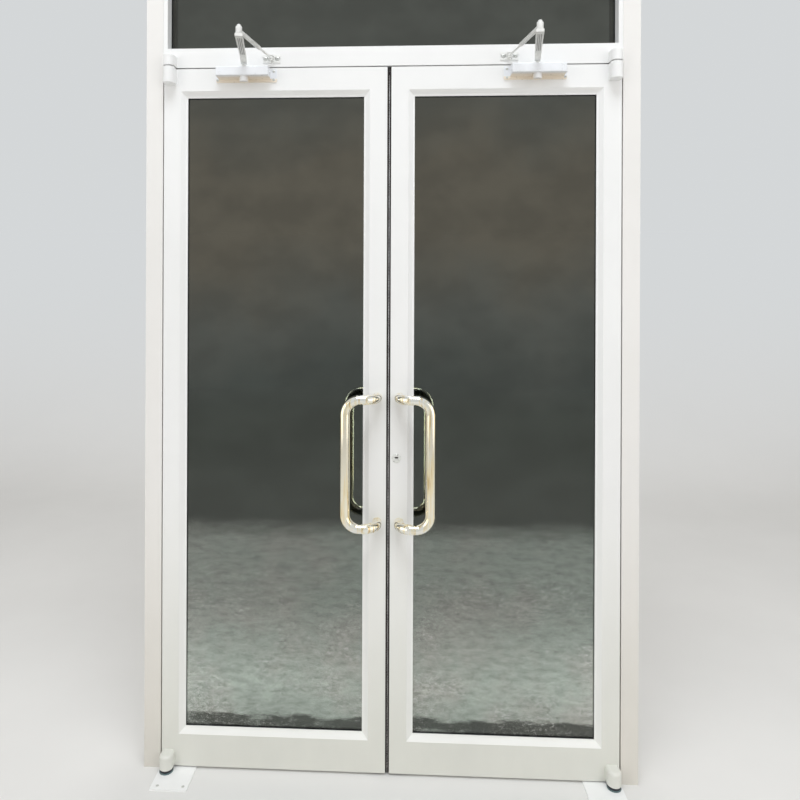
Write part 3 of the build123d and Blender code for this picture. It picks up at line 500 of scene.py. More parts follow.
def zinc_plate(name, colour):
    """Zinc-plated steel: grey spangle and dull handling marks."""
    f = Finish(name, Metallic=0.6)
    f.colour(f.ramp(f.noise(55.0, detail=4.0),
                    [(0.3, shade(colour, 0.80)), (0.55, colour), (0.8, shade(colour, 1.15))]))
    f.roughness(0.26, 0.46, 120.0)
    return f.bump(0.00008, 0.4, 500.0)


def rubber_skin(name, colour):
    """Extruded rubber: near black, dusty in places, with a dull skin."""
    f = Finish(name, Specular_IOR_Level=0.35)
    f.colour(f.ramp(f.noise(12.0, detail=5.0), [(0.35, colour), (0.85, shade(colour, 2.6))]))
    f.roughness(0.55, 0.75, 80.0)
    return f.bump(0.0001, 0.4, 700.0)


def brush_pile(name, colour):
    """Brush pile: dark fibres standing across the strip."""
    f = Finish(name, Specular_IOR_Level=0.2, Sheen_Weight=0.3)
    f.colour(f.ramp(f.noise(300.0, stretch=(0.1, 1.0, 3.0)),
                    [(0.3, shade(colour, 0.6)), (0.75, shade(colour, 1.6))]))
    f.roughness(0.8, 0.95, 60.0)
    return f.bump(0.0004, 0.7, 1200.0, stretch=(0.1, 1.0, 4.0))


def bearing_plastic(name, step):
    """Moulded bearing plastic: a grey green step at the plate, nearly black above it, scuffed all round."""
    f = Finish(name)
    dark = f.ramp(f.noise(70.0, detail=5.0), [(0.4, (0.018, 0.018, 0.024)), (0.8, (0.060, 0.058, 0.075))])
    pale = f.ramp(f.noise(70.0, detail=5.0), [(0.4, (0.10, 0.155, 0.165)), (0.8, (0.19, 0.25, 0.25))])
    f.colour(f.mix(f.height(step, step + 0.0004), pale, dark))
    f.roughness(0.35, 0.6, 150.0)
    return f.bump(0.0001, 0.4, 600.0)


# Height of the cap under a closer's housing, of the bearings' step, and half the key slot each way
CAP_HEIGHT = 0.016
BEARING_STEP = 0.0037
KEY_SLOT = (0.0058, 0.0026)
MATERIALS = {}


def finish(name):
    """The named finish, made when it is first asked for."""
    if name in MATERIALS:
        return MATERIALS[name]
    finishes = bpy.context.scene.door_finishes
    colours = {key: tuple(getattr(finishes, key)) for key in finishes.__annotations__}
    coat_colour = colours["powder_coat"]
    low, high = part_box("lock_plug")
    keyhole = ((low[0] + high[0]) / 2, (low[2] + high[2]) / 2)
    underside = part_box("left_closer_body")[0][2] + CAP_HEIGHT
    grip = [corner[2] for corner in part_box("left_front_handle")]
    makers = {
        "white coat": (powder_coat, coat_colour),
        # The jambs get a darker, warmer copy of the coat, painted shade
        "jamb coat": (powder_coat, tinted(coat_colour, 0.955, 0.935, 0.915), 0.6, (0.89, 0.87, 0.82)),
        "plate coat": (powder_coat, shade(coat_colour, 1.06), 0.2, (1.0, 1.0, 1.0)),
        # The beads get a lighter copy of the coat, painted light
        "bead coat": (powder_coat, shade(coat_colour, 1.03), 0.2, (1.0, 1.0, 0.97)),
        "arm silver": (arm_silver, colours["arm_silver"]),
        "key nickel": (key_nickel, shade(colours["zinc"], 1.22), keyhole, *KEY_SLOT),
        "closer enamel": (closer_enamel, colours["closer_paint"], underside),
        "pane": (pane_glass, colours["pane_dark"], colours["pane_pale"]),
        "polished steel": (polished_steel, colours["polished"], *grip),
        "zinc": (zinc_plate, colours["zinc"]),
        "rubber": (rubber_skin, colours["rubber"]),
        "pile": (brush_pile, colours["pile"]),
        "bearing": (bearing_plastic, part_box("pivot_bearings")[0][2] + BEARING_STEP),
    }
    make, *values = makers[name]
    MATERIALS[name] = make(name, *values)
    return MATERIALS[name]


def coat(names, material):
    """Gives CAD nodes a material."""
    for name in names:
        node = frame["nodes"][name]
        for slot in node.material_slots:
            slot.material = finish(material)


def fit_piece(piece, material, body, replaced=()):
    """Gives a new piece its material, the body that it rides on and the nodes it replaces."""
    piece.data.materials.append(finish(material))
    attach(piece, body)
    if replaced:
        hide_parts(*replaced)


# Operators

class DOOR_OT_coat_frame(bpy.types.Operator):
    """Coat the jambs, rails, stiles, beads and pivots"""

    bl_idname = "glassdoor.coat_frame"
    bl_label = "Frame and Leaves"

    def execute(self, context):
        fixed = ["transom_bar", "head_rail", "transom_beads"]
        leaf = ["hinge_stile", "meeting_stile", "top_rail", "bottom_rail", "top_pivot_block"]
        coat(fixed, "white coat")
        coat(["left_jamb", "right_jamb"], "jamb coat")
        for side, _ in SIDES:
            coat([f"{side}_{name}" for name in leaf], "white coat")
            coat([f"{side}_top_pivot_bracket"], "white coat")
            coat([f"{side}_floor_pivot"], "plate coat")
            coat([f"{side}_glazing_beads"], "bead coat")
        coat(["pivot_bearings"], "bearing")
        return {"FINISHED"}


class DOOR_OT_blocks(bpy.types.Operator):
    """Make the bottom pivot blocks with their rounded tops"""

    bl_idname = "glassdoor.blocks"
    bl_label = "Pivot Blocks"

    def execute(self, context):
        rounding = context.scene.door_fittings.block_rounding
        bore, bore_depth = 0.00605, 0.032
        for side, _ in SIDES:
            node = f"{side}_bottom_pivot_block"
            low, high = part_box(node)
            radius = (high[0] - low[0]) / 2
            axis = ((low[0] + high[0]) / 2, low[1] + radius)
            grid = block_grid(axis, radius, low[2], high[2], rounding, bore, bore_depth)
            piece = shell(f"{side}_rounded_block", grid)
            fit_piece(piece, "white coat", f"{side}_leaf", [node])
        return {"FINISHED"}


class DOOR_OT_panes(bpy.types.Operator):
    """Glaze the leaves and the fixed light, with their gaskets"""

    bl_idname = "glassdoor.panes"
    bl_label = "Panes and Gaskets"

    def execute(self, context):
        coat(["transom_glass", "left_glass", "right_glass"], "pane")
        coat(["transom_gaskets", "left_glass_gaskets", "right_glass_gaskets", "stop_seals"], "rubber")
        return {"FINISHED"}


class DOOR_OT_handles(bpy.types.Operator):
    """Make the bent tubes of the pull handles"""

    bl_idname = "glassdoor.handles"
    bl_label = "Pull Handles"

    def execute(self, context):
        fittings = context.scene.door_fittings
        radius, wall, bend = fittings.handle_radius, fittings.handle_wall, fittings.handle_bend
        lip_share = 0.3
        for side, way in SIDES:
            for face in ("front", "rear"):
                node = f"{side}_{face}_handle"
                low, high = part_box(node)
                out = low[1] + radius if face == "front" else high[1] - radius
                root = high[1] if face == "front" else low[1]
                near, far = low[0] + radius, high[0] - radius
                if way < 0:
                    near, far = far, near
                bottom, top = low[2] + radius, high[2] - radius
                corners = [(near, root, top), (near, out, top), (far, out, top),
                           (far, out, bottom), (near, out, bottom), (near, root, bottom)]
                points, heads = rounded_route(corners, bend)
                outer = tube(points, heads, radius)
                lip = tube(points[[0, -1]], heads[[0, -1]], radius - lip_share * wall)
                inner = tube(points, heads, radius - wall)
                grid = np.vstack([outer, lip[1:], inner[::-1], lip[:1]])
                piece = shell(f"{node}_tube", grid, wrap_rows=True)
                fit_piece(piece, "polished steel", f"{side}_leaf", [node])
            coat([f"{side}_handle_studs"], "zinc")
        return {"FINISHED"}


def block_grid(axis, radius, low, high, rounding, bore, depth):
    """A D-shaped pivot block round an upright axis, in front of the face y = 0 and bored from below.

    Seen from above, its outline is a half circle with straight flanks back to the face. The section
    runs from the bore's end down its wall, out over the underside, up the outside and over the top
    edge, where it is drawn in by rounding (1 - cos t) as it climbs rounding sin t. The bore's end and
    the top face each close over a smaller ring of their own outline.
    """
    turn = np.linspace(pi, 2 * pi, 49)
    flank, back = np.linspace(0, 1, 6)[1:], np.linspace(1, -1, 10)[1:-1]
    u = np.concatenate([np.cos(turn), np.ones_like(flank), back, -np.ones_like(flank)])
    v = np.concatenate([np.sin(turn), np.zeros(len(u) - len(turn))])
    w = np.concatenate([np.zeros_like(turn), flank, np.ones_like(back), flank[::-1]])
    reach = -axis[1]
    way = np.arctan2(radius * v + reach * w, radius * u)
    hole = np.stack([bore * np.cos(way), bore * np.sin(way)], -1)
    t = np.linspace(0, pi / 2, 9)
    bore_end, top_face = 0.5, 0.4
    edge, shoulder = 0.0004, high - rounding
    foot = np.array([edge, 0.0])
    wall = np.linspace(low + 10 * edge, shoulder - 5 * edge, 7)
    inset = np.concatenate([foot, np.zeros_like(wall), rounding * (1 - np.cos(t))])
    z = np.concatenate([low + edge - foot, wall, shoulder + rounding * np.sin(t)])
    across = (radius - inset)[:, None]
    outer = np.stack(np.broadcast_arrays(across * u, across * v + reach * w, z[:, None]), -1)
    inner = np.stack([np.column_stack([share * hole, np.full(len(u), level)])
                      for share, level in ((bore_end, low + depth), (1.0, low + depth), (1.0, low))])
    top = outer[-1:] * np.array([top_face, top_face, 1.0])
    return np.vstack([inner, outer, top]) + np.array([axis[0], axis[1], 0.0])


def screw_grid(radius, height, under, recess_depth):
    """A screw that points along -Z from its seat at z = 0.

    The head is a dome z = h sqrt(1 - (r / R)^2.6), pressed in by a cross. The recess is deep where
    the smaller of |x| and |y| is under half an arm's width and r is inside its reach, all as shares of
    the head's radius, and at either limit it fades by 1 / (1 + exp(steepness (d - limit))). The shank
    is the profile given as (radius, height) pairs, turned about Z.
    """
    round_count, fullness = 64, 2.6
    arm_half, arm_steepness, recess_reach, reach_steepness = 0.11, 90, 0.55, 40
    share = np.concatenate([np.linspace(0.02, 0.96, 22), [0.99, 1.0]])
    r, a = np.meshgrid(share, once_round(round_count), indexing="ij")
    x, y = r * np.cos(a), r * np.sin(a)
    dome = height * np.sqrt(np.clip(1 - r ** fullness, 0, 1))
    arm = 1 / (1 + np.exp((np.minimum(np.abs(x), np.abs(y)) - arm_half) * arm_steepness))
    reach = 1 / (1 + np.exp((r - recess_reach) * reach_steepness))
    top = np.stack([radius * x, radius * y, dome - recess_depth * arm * reach], -1)
    return np.vstack([top, turned([(radius, 0.0), *under], round_count)])


def shank(length):
    """The profile of a screw's shank, with a blunt point."""
    radius, point = 0.0025, 0.001
    return [(radius, 0.0), (radius, point - length), (point, -length)]


def screws(name, grid, places, out):
    """One object with a screw at each place. The heads face along out, and each has its own turn."""
    across = (0, 0, 1) if abs(out[1]) > 0.5 else (1, 0, 0)
    parts = []
    for i, place in enumerate(places):
        x_axis = Matrix.Rotation(radians(25 + 40 * i), 3, Vector(out)) @ Vector(across)
        parts.append(shell(f"{name}_{i}", placed(grid, place, tuple(x_axis), out)))
    return joined(name, parts)


def floor_screw_places(side):
    """The four screw places of a floor plate, from its mount."""
    pattern = next(m for m in frame["record"]["mounts"] if m["name"] == f"{side}_floor_plate_screws")
    x, y, _ = pattern["pos_m"]
    half_x, half_y = (MM * pattern["dims"][f"spacing_{axis}_mm"] / 2 for axis in "xy")
    seat = 0.0037
    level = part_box(f"{side}_floor_pivot")[0][2] + seat
    return [(x + i * half_x, y + j * half_y, level) for i in (-1, 1) for j in (-1, 1)]


class DOOR_OT_screws(bpy.types.Operator):
    """Make the screws of the closers, their feet and the floor plates"""

    bl_idname = "glassdoor.screws"
    bl_label = "Screws"

    def execute(self, context):
        out, recess_depth = (0, -1, 0), 0.0014
        radius, height = 0.0044, 0.0026
        grid = screw_grid(radius, height, shank(length=0.016), recess_depth)
        for side, _ in SIDES:
            low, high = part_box(f"{side}_closer_screws")
            places = [(x, low[1] + height, z) for x in (low[0] + radius, high[0] - radius)
                      for z in (low[2] + radius, high[2] - radius)]
            piece = screws(f"{side}_closer_fixings", grid, places, out)
            fit_piece(piece, "zinc", f"{side}_leaf", [f"{side}_closer_screws"])
        low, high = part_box("closer_foot_screws")
        foot_low, foot_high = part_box("right_closer_foot")
        radius, height, slot_length = 0.0065, 0.0025, 0.017
        grid = screw_grid(radius, height, shank(length=0.0145), recess_depth)
        outer = high[0] - radius
        inner = outer - (foot_high[0] - foot_low[0] - slot_length)
        level = (low[2] + high[2]) / 2
        places = [(x, low[1] + height, level) for x in (outer, inner, -inner, -outer)]
        piece = screws("foot_fixings", grid, places, out)
        fit_piece(piece, "zinc", "frame", ["closer_foot_screws"])
        radius, height, recess_depth = 0.0051, 0.0002, 0.0011
        cone = [(0.0025, -0.0024), (0.0024, -0.0034)]
        grid = screw_grid(radius, height, cone, recess_depth)
        for side, _ in SIDES:
            piece = screws(f"{side}_floor_fixings", grid, floor_screw_places(side), (0, 0, 1))
            fit_piece(piece, "zinc", "frame")
        return {"FINISHED"}


def smooth_step(s, start, end):
    """0 before start, 1 after end, and 3 t^2 - 2 t^3 between them."""
    t = np.clip((s - start) / (end - start), 0, 1)
    return t * t * (3 - 2 * t)


def arm_grid(length):
    """A pressed steel arm along X from the spindle at 0 to the elbow at its length, and its grooves.

    The half width runs straight from the spindle's circle, sqrt(r^2 - s^2), to the elbow, where the
    end is cut square with rounded corners, w - c + sqrt(c^2 - (s - s0)^2). Top and underside climb the
    crank by smooth steps, and the underside turns down into a lip at the end. Each cross-section is a
    rectangle with rounded corners, and three half-round grooves, r sqrt(1 - (y / r)^2) deep, run along
    its underside and fade out at both ends. The second grid is the depth of the grooves from 0 to 1.
    """
    near, far, edge, corner_radius, beyond = 0.0095, 0.0118, 0.0008, 0.003, 0.0098
    base, thick, rise, ramp, lip, lip_length = 0.008, 0.006, 0.0096, (0.016, 0.048), 0.0026, 0.0022
    groove_pitch, groove_radius, groove_start, groove_end, groove_fade = 0.005, 0.0014, 0.058, 0.014, 0.008
    turn = np.linspace(0.12, pi / 2, 16)
    tip = length + beyond - corner_radius
    s = np.concatenate([-near * np.cos(turn), np.linspace(0, tip, 134)[1:-1],
                        tip + corner_radius * np.sin(np.linspace(0, pi / 2 - 0.05, 12))])
    lean = (far - near) / length
    first = -near * lean
    flank = near + (far - near) * (s - first) / (tip - first)
    start = np.sqrt(np.clip(near ** 2 - s ** 2, 0, None))
    end = far - corner_radius + np.sqrt(np.clip(corner_radius ** 2 - (s - tip) ** 2, 0, None))
    half = np.where(s < first, start, np.where(s > tip, end, flank))[:, None]
    under = rise * smooth_step(s, *ramp) - lip * smooth_step(s, tip - lip_length, tip)
    over = base + (rise + thick - base) * smooth_step(s, ramp[0] - base, ramp[1] - base)
    top, flat, corner = np.linspace(-1, 1, 9), np.linspace(-1, 1, 71), np.linspace(0, pi / 2, 5)
    turns = np.concatenate([np.full_like(top, pi / 2), pi / 2 - corner, -corner,
                            np.full_like(flat, -pi / 2), -pi / 2 - corner, pi - corner])
    flank = np.ones(2 * len(corner))
    place = np.concatenate([top, flank, -flat, -flank])
    upper = np.repeat([1, -1, 1], [len(top) + len(corner), len(flat) + len(flank), len(corner)])
    across = place * (half - edge) + edge * np.cos(turns)
    middle, reach = (over + under)[:, None] / 2, (over - under)[:, None] / 2 - edge
    height = middle + upper * reach + edge * np.sin(turns)
    lines = sum(np.sqrt(np.clip(1 - ((across - i * groove_pitch) / groove_radius) ** 2, 0, 1))
                for i in (-1, 0, 1))
    fade = (smooth_step(s, groove_start, groove_start + groove_fade)
            * (1 - smooth_step(s, length - groove_end - groove_fade, length - groove_end)))
    below = (upper < 0) & (np.abs(place) < 1)
    grooves = np.where(below, lines * fade[:, None], 0)
    height = height + groove_radius * grooves
    return np.stack(np.broadcast_arrays(s[:, None], across, height), -1), grooves


def hexagon(radius, low, high, chamfer):
    """A nut along Z: its radius is the smaller of a hexagon's and of a cone's that cuts its corners."""
    round_count, slope = 72, 1.6
    angle = once_round(round_count)
    flats = radius * cos(pi / 6) / np.cos(np.mod(angle, pi / 3) - pi / 6)
    steps = chamfer * np.array([0, 0.34, 0.67, 1])
    z = np.concatenate([low + steps, high - steps[::-1]])
    cone = radius - slope * np.clip(chamfer - np.minimum(z - low, high - z), 0, None)
    r = np.minimum(flats[None, :], cone[:, None])
    return about_z(r, angle, z[:, None])


def thread_grid(radius, low, high, pitch, depth):
    """A threaded rod along Z: r = R - depth (1 + cos(2 pi z / pitch - a)) / 2, plain at both ends."""
    rows_per_turn, round_count, run_out = 6, 24, 2 * pitch
    z = np.linspace(low, high, int((high - low) / pitch * rows_per_turn))[:, None]
    angle = once_round(round_count)[None, :]
    fade = smooth_step(z, low, low + run_out) * (1 - smooth_step(z, high - run_out, high))
    r = radius - depth * fade * (1 + np.cos(2 * pi * z / pitch - angle)) / 2
    return about_z(r, angle, z)


# Profiles of the forearm's turned parts, as pairs of radius and height, or length along the sleeve
ELBOW_EYE = MM * np.array([(8.4, 0), (9.2, 0.3), (9.5, 1), (9.5, 20), (9.2, 20.7), (8.4, 21)])
KNOB = MM * np.array([
    (5.2, 20.5), (5.2, 21.7), (6.2, 22.1), (6.5, 22.7), (6.5, 24.2), (6.2, 24.9),
    (5.5, 25.2), (5.5, 25.7), (5.3, 26.6), (4.5, 27.4), (3.0, 27.85), (1.2, 28)])
SLEEVE = MM * np.array([
    (6, 4), (6.5, 4.5), (6.5, 131.6), (6.2, 132), (6.2, 133), (6.5, 133.4),
    (6.5, 139.2), (6.1, 140), (4.2, 140), (3.8, 139.6), (3.8, 111)])
ROD_EYE = MM * np.array([
    (3.05, -4), (3.05, 4), (6.2, 4), (6.8, 3.7), (7, 3.1), (7, -3.1), (6.8, -3.7), (6.2, -4)])


def main_arm(side, spindle, elbow):
    """The pressed arm from the spindle to the elbow, with the nut over the spindle."""
    up, along = (0, 0, 1), tuple(elbow - spindle)
    bottom = spindle + Vector((0, 0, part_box(f"{side}_main_arm")[0][2]))
    bar, grooves = arm_grid((elbow - spindle).length)
    nut = hexagon(radius=0.0062, low=0.0081, high=0.0125, chamfer=0.0007)
    parts = [shell(name, placed(grid, bottom, along, up))
             for name, grid in (("bar", bar), ("nut", nut))]
    depth = parts[0].data.attributes.new("groove", "FLOAT", "POINT")
    poles = [0.0, 0.0]
    depth.data.foreach_set("value", np.append(grooves.ravel(), poles))
    piece = joined(f"{side}_arm", parts)
    fit_piece(piece, "arm silver", f"{side}_main_arm", [f"{side}_main_arm"])


def forearm(side, elbow, foot, fittings):
    """The elbow's eye with its knob and the sleeve, and the rod with its lock nut and its own eye."""
    up, along, reach = (0, 0, 1), tuple(foot - elbow), (foot - elbow).length
    base = elbow + Vector((0, 0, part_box(f"{side}_forearm_tube")[0][2]))
    sleeve_height = 0.010
    middle = base + Vector((0, 0, sleeve_height))
    parts = [shell("eye", placed(turned(ELBOW_EYE), base, along, up)),
             shell("knob", placed(turned(KNOB), base, along, up)),
             shell("sleeve", placed(turned(SLEEVE), middle, up, along))]
    piece = joined(f"{side}_forearm_sleeve", parts)
    fit_piece(piece, "arm silver", f"{side}_forearm", [f"{side}_forearm_tube"])

    radius, start, short = 0.0035, 0.1105, 0.006
    rod = thread_grid(radius, start, reach - short, fittings.thread_pitch, fittings.thread_depth)
    nut = hexagon(radius=0.0060, low=0.1401, high=0.1450, chamfer=0.0006)
    end = foot + Vector((0, 0, middle[2]))
    parts = [shell("rod", placed(rod, middle, up, along)),
             shell("lock_nut", placed(nut, middle, up, along)),
             shell("eyelet", placed(turned(ROD_EYE), end, along, up), wrap_rows=True)]
    piece = joined(f"{side}_forearm_thread", parts)
    fit_piece(piece, "arm silver", f"{side}_forearm", [f"{side}_forearm_rod"])


class DOOR_OT_closers(bpy.types.Operator):
    """Paint the closer housings and make their arms, knobs and rods"""

    bl_idname = "glassdoor.closers"
    bl_label = "Door Closers"

    def execute(self, context):
        pivots = {joint["name"]: Vector(joint["pos_m"]) for joint in frame["joints"] if "pos_m" in joint}
        end_reach = 0.012
        for side, way in SIDES:
            coat([f"{side}_closer_body"], "closer enamel")
            coat([f"{side}_closer_foot", f"{side}_closer_spindle"], "arm silver")
            low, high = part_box(f"{side}_main_arm")
            inward = low[0] + end_reach if way > 0 else high[0] - end_reach
            elbow = Vector((inward, low[1] + end_reach, 0))
            main_arm(side, pivots[f"{side}_arm_turn"].xy.to_3d(), elbow)
            forearm(side, elbow, pivots[f"{side}_forearm_turn"].xy.to_3d(), context.scene.door_fittings)
        return {"FINISHED"}


def brush_grid(root, tip, centre, width, low, high, tufts):
    """A brush strip along Z, its tips uneven.

    Each cross-section is a loop from the root to the tip and back. The tip reaches 1 - ragged n of the
    way, where n is the mean of three sines of the height with unrelated periods, brought to 0 to 1.
    Every second row is drawn in and pinched, which parts the tufts, and the pile leans by a sine too.
    """
    ragged, parted, pinch, leaning = 0.16, 0.08, 0.72, 0.12
    z = np.linspace(low, high, 2 * tufts + 1)[:, None]
    uneven = (3 + np.sin(z * 911) + np.sin(z * 2377 + 1.3) + np.sin(z * 5171 + 0.4)) / 6
    parting = np.where(np.arange(2 * tufts + 1)[:, None] % 2, parted, 0.0)
    out = np.array([0, 0.45, 0.85, 1, 1, 1, 0.85, 0.45, 0])[None, :]
    side = np.array([-1, -1, -0.98, -0.8, 0, 0.8, 0.98, 1, 1])[None, :]
    reach = out * (1 - (ragged * uneven + parting) * out)
    lean = leaning * np.sin(z * 700) * out
    x = root + (tip - root) * reach
    squeeze = 1 - pinch * parting * (out > 0)
    y = centre + width / 2 * (side * squeeze + lean * (np.abs(side) < 0.9))
    return np.stack(np.broadcast_arrays(x, y, z), -1)


class DOOR_OT_seals(bpy.types.Operator):
    """Make the brush seals of the meeting edges"""

    bl_idname = "glassdoor.seals"
    bl_label = "Brush Seals"

    def execute(self, context):
        tufts = context.scene.door_fittings.bristles
        base_width, base_height, pile_width, meeting, sunk = 0.007, 0.0012, 0.0046, 0.0002, 0.0004
        half, shares = base_width / 2, (-0.94, -0.7, 0.7, 0.94)
        for side, way in SIDES:
            low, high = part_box(f"{side}_pile_seals")
            edge = high[0] if way > 0 else low[0]
            root, tip, parts = edge - way * sunk, way * meeting, []
            for centre in (low[1] + half, high[1] - half):
                grid = brush_grid(root, tip, centre, pile_width, low[2], high[2], tufts)
                parts.append(shell("pile", grid))
                raised = [(edge - way * base_height, centre + half * share) for share in shares]
                section = [(edge, centre - half), *raised, (edge, centre + half)]
                rows = [[(x, y, z) for x, y in section] for z in (low[2], high[2])]
                parts.append(shell("backing", rows))
            piece = joined(f"{side}_brush_seals", parts)
            fit_piece(piece, "pile", f"{side}_leaf", [f"{side}_pile_seals"])
        return {"FINISHED"}


class DOOR_OT_lock(bpy.types.Operator):
    """Finish the lock and its strike"""

    bl_idname = "glassdoor.lock"
    bl_label = "Lock"

    def execute(self, context):
        coat(["lock_case", "hook_bolt", "strike_plate"], "zinc")
        coat(["lock_cylinders", "lock_plug"], "key nickel")
        return {"FINISHED"}


def looked_at(tree):
    """1 for rays from the camera, off mirrors and through glass, and 0 for those that carry light."""
    path = tree.nodes.new("ShaderNodeLightPath")
    share = path.outputs["Is Camera Ray"]
    for name in ("Is Glossy Ray", "Is Transmission Ray"):
        larger = tree.nodes.new("ShaderNodeMath")
        larger.operation = "MAXIMUM"
        tree.links.new(share, larger.inputs[0])
        tree.links.new(path.outputs[name], larger.inputs[1])
        share = larger.outputs[0]
    return share


def seen_plainly(f, near, far, start, end):
    """Adds an even glow that only the camera, reflections and views through glass see.

    Under the door it is a twentieth of the near colour, added to the floor's own shading, so the
    shadow stays. Behind the door, and far from it all round, the glow grows to the far colour and the
    shading fades out.
    """
    round_start, round_end, near_share = 4.5, 8.8, 0.05
    away = f.add("ShaderNodeVectorMath", operation="LENGTH")
    f.link(f.stretched((1, 1, 0)), away.inputs[0])
    back = f.math("MAXIMUM", f.span(f.axis("Y"), start, end, 0.0, 1.0),
                  f.span(away.outputs["Value"], round_start, round_end, 0.0, 1.0))
    share = f.times(f.span(back, 0.0, 1.0, near_share, 1.0), looked_at(f.tree))
    glow = f.add("ShaderNodeEmission")
    f.link(f.mix(back, near, far), glow.inputs["Color"])
    mixer = f.add("ShaderNodeMixShader")
    f.link(share, mixer.inputs["Fac"])
    f.link(f.shader.outputs["BSDF"], mixer.inputs[1])
    f.link(glow.outputs["Emission"], mixer.inputs[2])
    f.link(mixer.outputs["Shader"], f.tree.nodes["Material Output"].inputs["Surface"])
    return f.material


def daylight(name, colour, strength, backdrop):
    """A world that lights evenly with one colour and is seen in the backdrop's."""
    world = bpy.data.worlds.new(name)
    world.use_nodes = True
    tree = world.node_tree
    light = tree.nodes["Background"]
    light.inputs["Color"].default_value = (*colour, 1)
    light.inputs["Strength"].default_value = strength
    view = tree.nodes.new("ShaderNodeBackground")
    view.inputs["Color"].default_value = (*backdrop, 1)
    mixer = tree.nodes.new("ShaderNodeMixShader")
    tree.links.new(looked_at(tree), mixer.inputs["Fac"])
    tree.links.new(light.outputs["Background"], mixer.inputs[1])
    tree.links.new(view.outputs["Background"], mixer.inputs[2])
    tree.links.new(mixer.outputs["Shader"], tree.nodes["World Output"].inputs["Surface"])
    return world


# Name, place, target, width and height in metres, watts, colour, and for a gleam the handles it lights
LAMPS = (
    ("high front lamp", (0.05, -2.4, 6.5), (0.0, 0.0, 1.4), 3.0, 2.0, 170, (0.92, 0.96, 1.0)),
    ("left lamp", (-3.0, -2.7, 2.6), (0.0, 0.0, 1.9), 2.0, 2.8, 35, (1.0, 0.99, 0.98)),
    ("right lamp", (3.0, -2.7, 2.6), (0.0, 0.0, 1.9), 2.0, 2.8, 37, (1.0, 0.99, 0.98)),
    ("low front lamp", (0.0, -1.5, 0.02), (0.0, 0.0, 2.3), 2.4, 0.5, 3.6, (1.0, 0.86, 0.62)),
    ("high rear lamp", (0.2, 2.1, 4.7), (0.0, 0.0, 1.1), 2.4, 1.2, 32, (1.0, 0.98, 0.95)),
)
GLEAMS = (
    ("left gleam", (-4.2, -2.2, 1.6), (0.0, 0.0, 1.2), 4.4, 4.0, 42, (1.0, 0.98, 0.92), "front"),
    ("right gleam", (4.2, -2.2, 1.6), (0.0, 0.0, 1.2), 4.4, 4.0, 42, (1.0, 0.98, 0.92), "front"),
    ("left rear gleam", (-2.3, 2.0, 1.1), (0.0, 0.1, 1.05), 3.6, 2.4, 260, (1.0, 0.98, 0.95), "rear"),
    ("right rear gleam", (2.3, 2.0, 1.1), (0.0, 0.1, 1.05), 3.6, 2.4, 260, (1.0, 0.98, 0.95), "rear"),
    ("high rear gleam", (0.0, 1.3, 3.6), (0.0, 0.1, 1.05), 2.4, 1.8, 150, (1.0, 0.98, 0.95), "rear"),
)


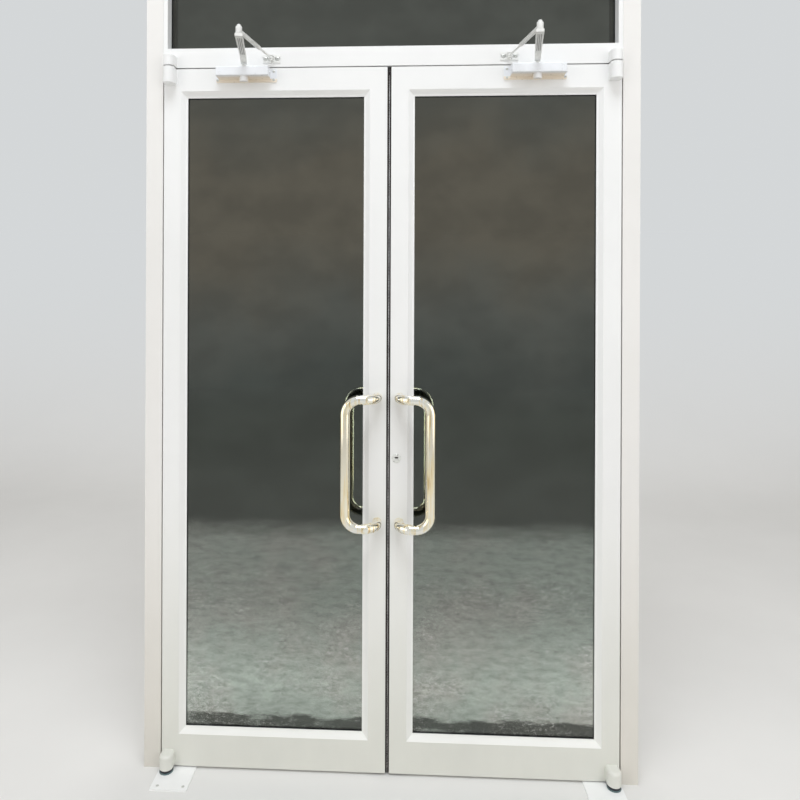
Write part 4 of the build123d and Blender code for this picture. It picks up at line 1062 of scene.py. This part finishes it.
class DOOR_OT_stage(bpy.types.Operator):
    """Set up the floor, the backdrop, the lamps and the camera"""

    bl_idname = "glassdoor.stage"
    bl_label = "Stage"

    def execute(self, context):
        scene = context.scene
        values = scene.door_stage
        floor, backdrop = tuple(values.floor), tuple(values.backdrop)
        sweep = self.sweep(floor, backdrop)

        scene.world = daylight(
            "soft daylight", colour=(1.0, 0.98, 0.965), strength=0.465, backdrop=backdrop)
        for row in LAMPS:
            self.lamp(*row)
        # The low front lamp leaves out the floor, where it would draw a hard edge in front of the door
        over_floor = bpy.data.collections.new("all but the floor")
        over_floor.objects.link(sweep)
        over_floor.collection_objects[0].light_linking.link_state = "EXCLUDE"
        scene.objects["low front lamp"].light_linking.receiver_collection = over_floor
        handles = {face: bpy.data.collections.new(f"{face} handles") for face in ("front", "rear")}
        for side, _ in SIDES:
            for face, group in handles.items():
                group.objects.link(scene.objects[f"{side}_{face}_handle_tube"])
        for *row, face in GLEAMS:
            self.lamp(*row).light_linking.receiver_collection = handles[face]

        scene.camera = self.camera(values)
        scene.view_settings.view_transform = "Standard"
        return {"FINISHED"}

    @staticmethod
    def sweep(floor, backdrop):
        """A floor that rises behind the door, over a quarter circle, into the backdrop."""
        half_width, top, bend, wall, early = 9.0, 8.0, 2.2, 5.2, 0.4
        turn = np.linspace(0, pi / 2, 24)
        ys = np.concatenate([[-half_width, 0.0], wall - bend + bend * np.sin(turn), [wall]])
        zs = np.concatenate([[0.0, 0.0], bend - bend * np.cos(turn), [top]])
        rows = [[(x, y, z) for x in (-half_width, half_width)] for y, z in zip(ys, zs)]
        sweep = shell("sweep", rows, wrap_columns=False)
        f = Finish("pale sweep", Roughness=0.8, Specular_IOR_Level=0.0)
        f.colour(f.ramp(f.noise(1.2, detail=4.0), [(0.3, shade(floor, 0.97)), (0.7, shade(floor, 1.02))]))
        sweep.data.materials.append(seen_plainly(f, floor, backdrop, wall - bend - early, wall))
        return sweep

    @staticmethod
    def camera(values):
        """The camera, turned from straight ahead and rolled about its own axis."""
        camera = bpy.data.objects.new("camera", bpy.data.cameras.new("camera"))
        bpy.context.scene.collection.objects.link(camera)
        turn, roll = values.camera_turn, values.camera_roll
        ahead = Vector((-sin(turn), cos(turn), 0))
        right = Vector((cos(turn), sin(turn), 0))
        up = Vector((0, 0, 1))
        right, up = right * cos(roll) + up * sin(roll), up * cos(roll) - right * sin(roll)
        matrix = Matrix((right, up, -ahead)).transposed().to_4x4()
        matrix.translation = Vector(values.camera_place)
        camera.matrix_world = matrix
        camera.data.sensor_width = 36
        camera.data.lens = values.lens
        camera.data.shift_x = values.shift_x
        camera.data.shift_y = values.shift_y
        camera.data.clip_start = 0.01
        return camera

    @staticmethod
    def lamp(name, place, target, width, height, power, colour):
        """An area lamp that faces a point. It isn't seen, and only a high lamp or a gleam is mirrored."""
        light = bpy.data.lights.new(name, "AREA")
        light.shape = "RECTANGLE"
        light.size = width
        light.size_y = height
        light.energy = power
        light.color = colour
        lamp = bpy.data.objects.new(name, light)
        bpy.context.scene.collection.objects.link(lamp)
        lamp.location = place
        lamp.rotation_euler = (Vector(target) - Vector(place)).to_track_quat("-Z", "Y").to_euler()
        lamp.visible_camera = False
        lamp.visible_transmission = False
        lamp.visible_glossy = name.startswith("high") or name.endswith("gleam")
        return lamp


OPERATORS = (
    DOOR_OT_coat_frame, DOOR_OT_blocks, DOOR_OT_panes, DOOR_OT_handles, DOOR_OT_closers,
    DOOR_OT_screws, DOOR_OT_seals, DOOR_OT_lock, DOOR_OT_stage,
)


class DOOR_PT_parts(bpy.types.Panel):
    """The door's parts, each with its own button"""

    bl_idname = "DOOR_PT_parts"
    bl_label = "Glass Door"
    bl_space_type = "VIEW_3D"
    bl_region_type = "UI"
    bl_category = "Glass Door"

    def draw(self, context):
        for group in (context.scene.door_finishes, context.scene.door_fittings, context.scene.door_stage):
            box = self.layout.box()
            for name in group.__annotations__:
                box.prop(group, name)
        for operator in OPERATORS:
            self.layout.operator(operator.bl_idname)


GROUPS = {"door_finishes": DoorFinishes, "door_fittings": DoorFittings, "door_stage": DoorStage}


def register():
    for group in GROUPS.values():
        bpy.utils.register_class(group)
    for name, group in GROUPS.items():
        setattr(bpy.types.Scene, name, PointerProperty(type=group))
    for item in (*OPERATORS, DOOR_PT_parts):
        bpy.utils.register_class(item)


def unregister():
    for item in reversed((*OPERATORS, DOOR_PT_parts)):
        bpy.utils.unregister_class(item)
    for name, group in GROUPS.items():
        delattr(bpy.types.Scene, name)
        bpy.utils.unregister_class(group)


def main():
    """Makes every part in order."""
    register()
    bpy.ops.glassdoor.coat_frame()
    bpy.ops.glassdoor.blocks()
    bpy.ops.glassdoor.panes()
    bpy.ops.glassdoor.handles()
    bpy.ops.glassdoor.closers()
    bpy.ops.glassdoor.screws()
    bpy.ops.glassdoor.seals()
    bpy.ops.glassdoor.lock()
    bpy.ops.glassdoor.stage()


if __name__ == "__main__":
    main()
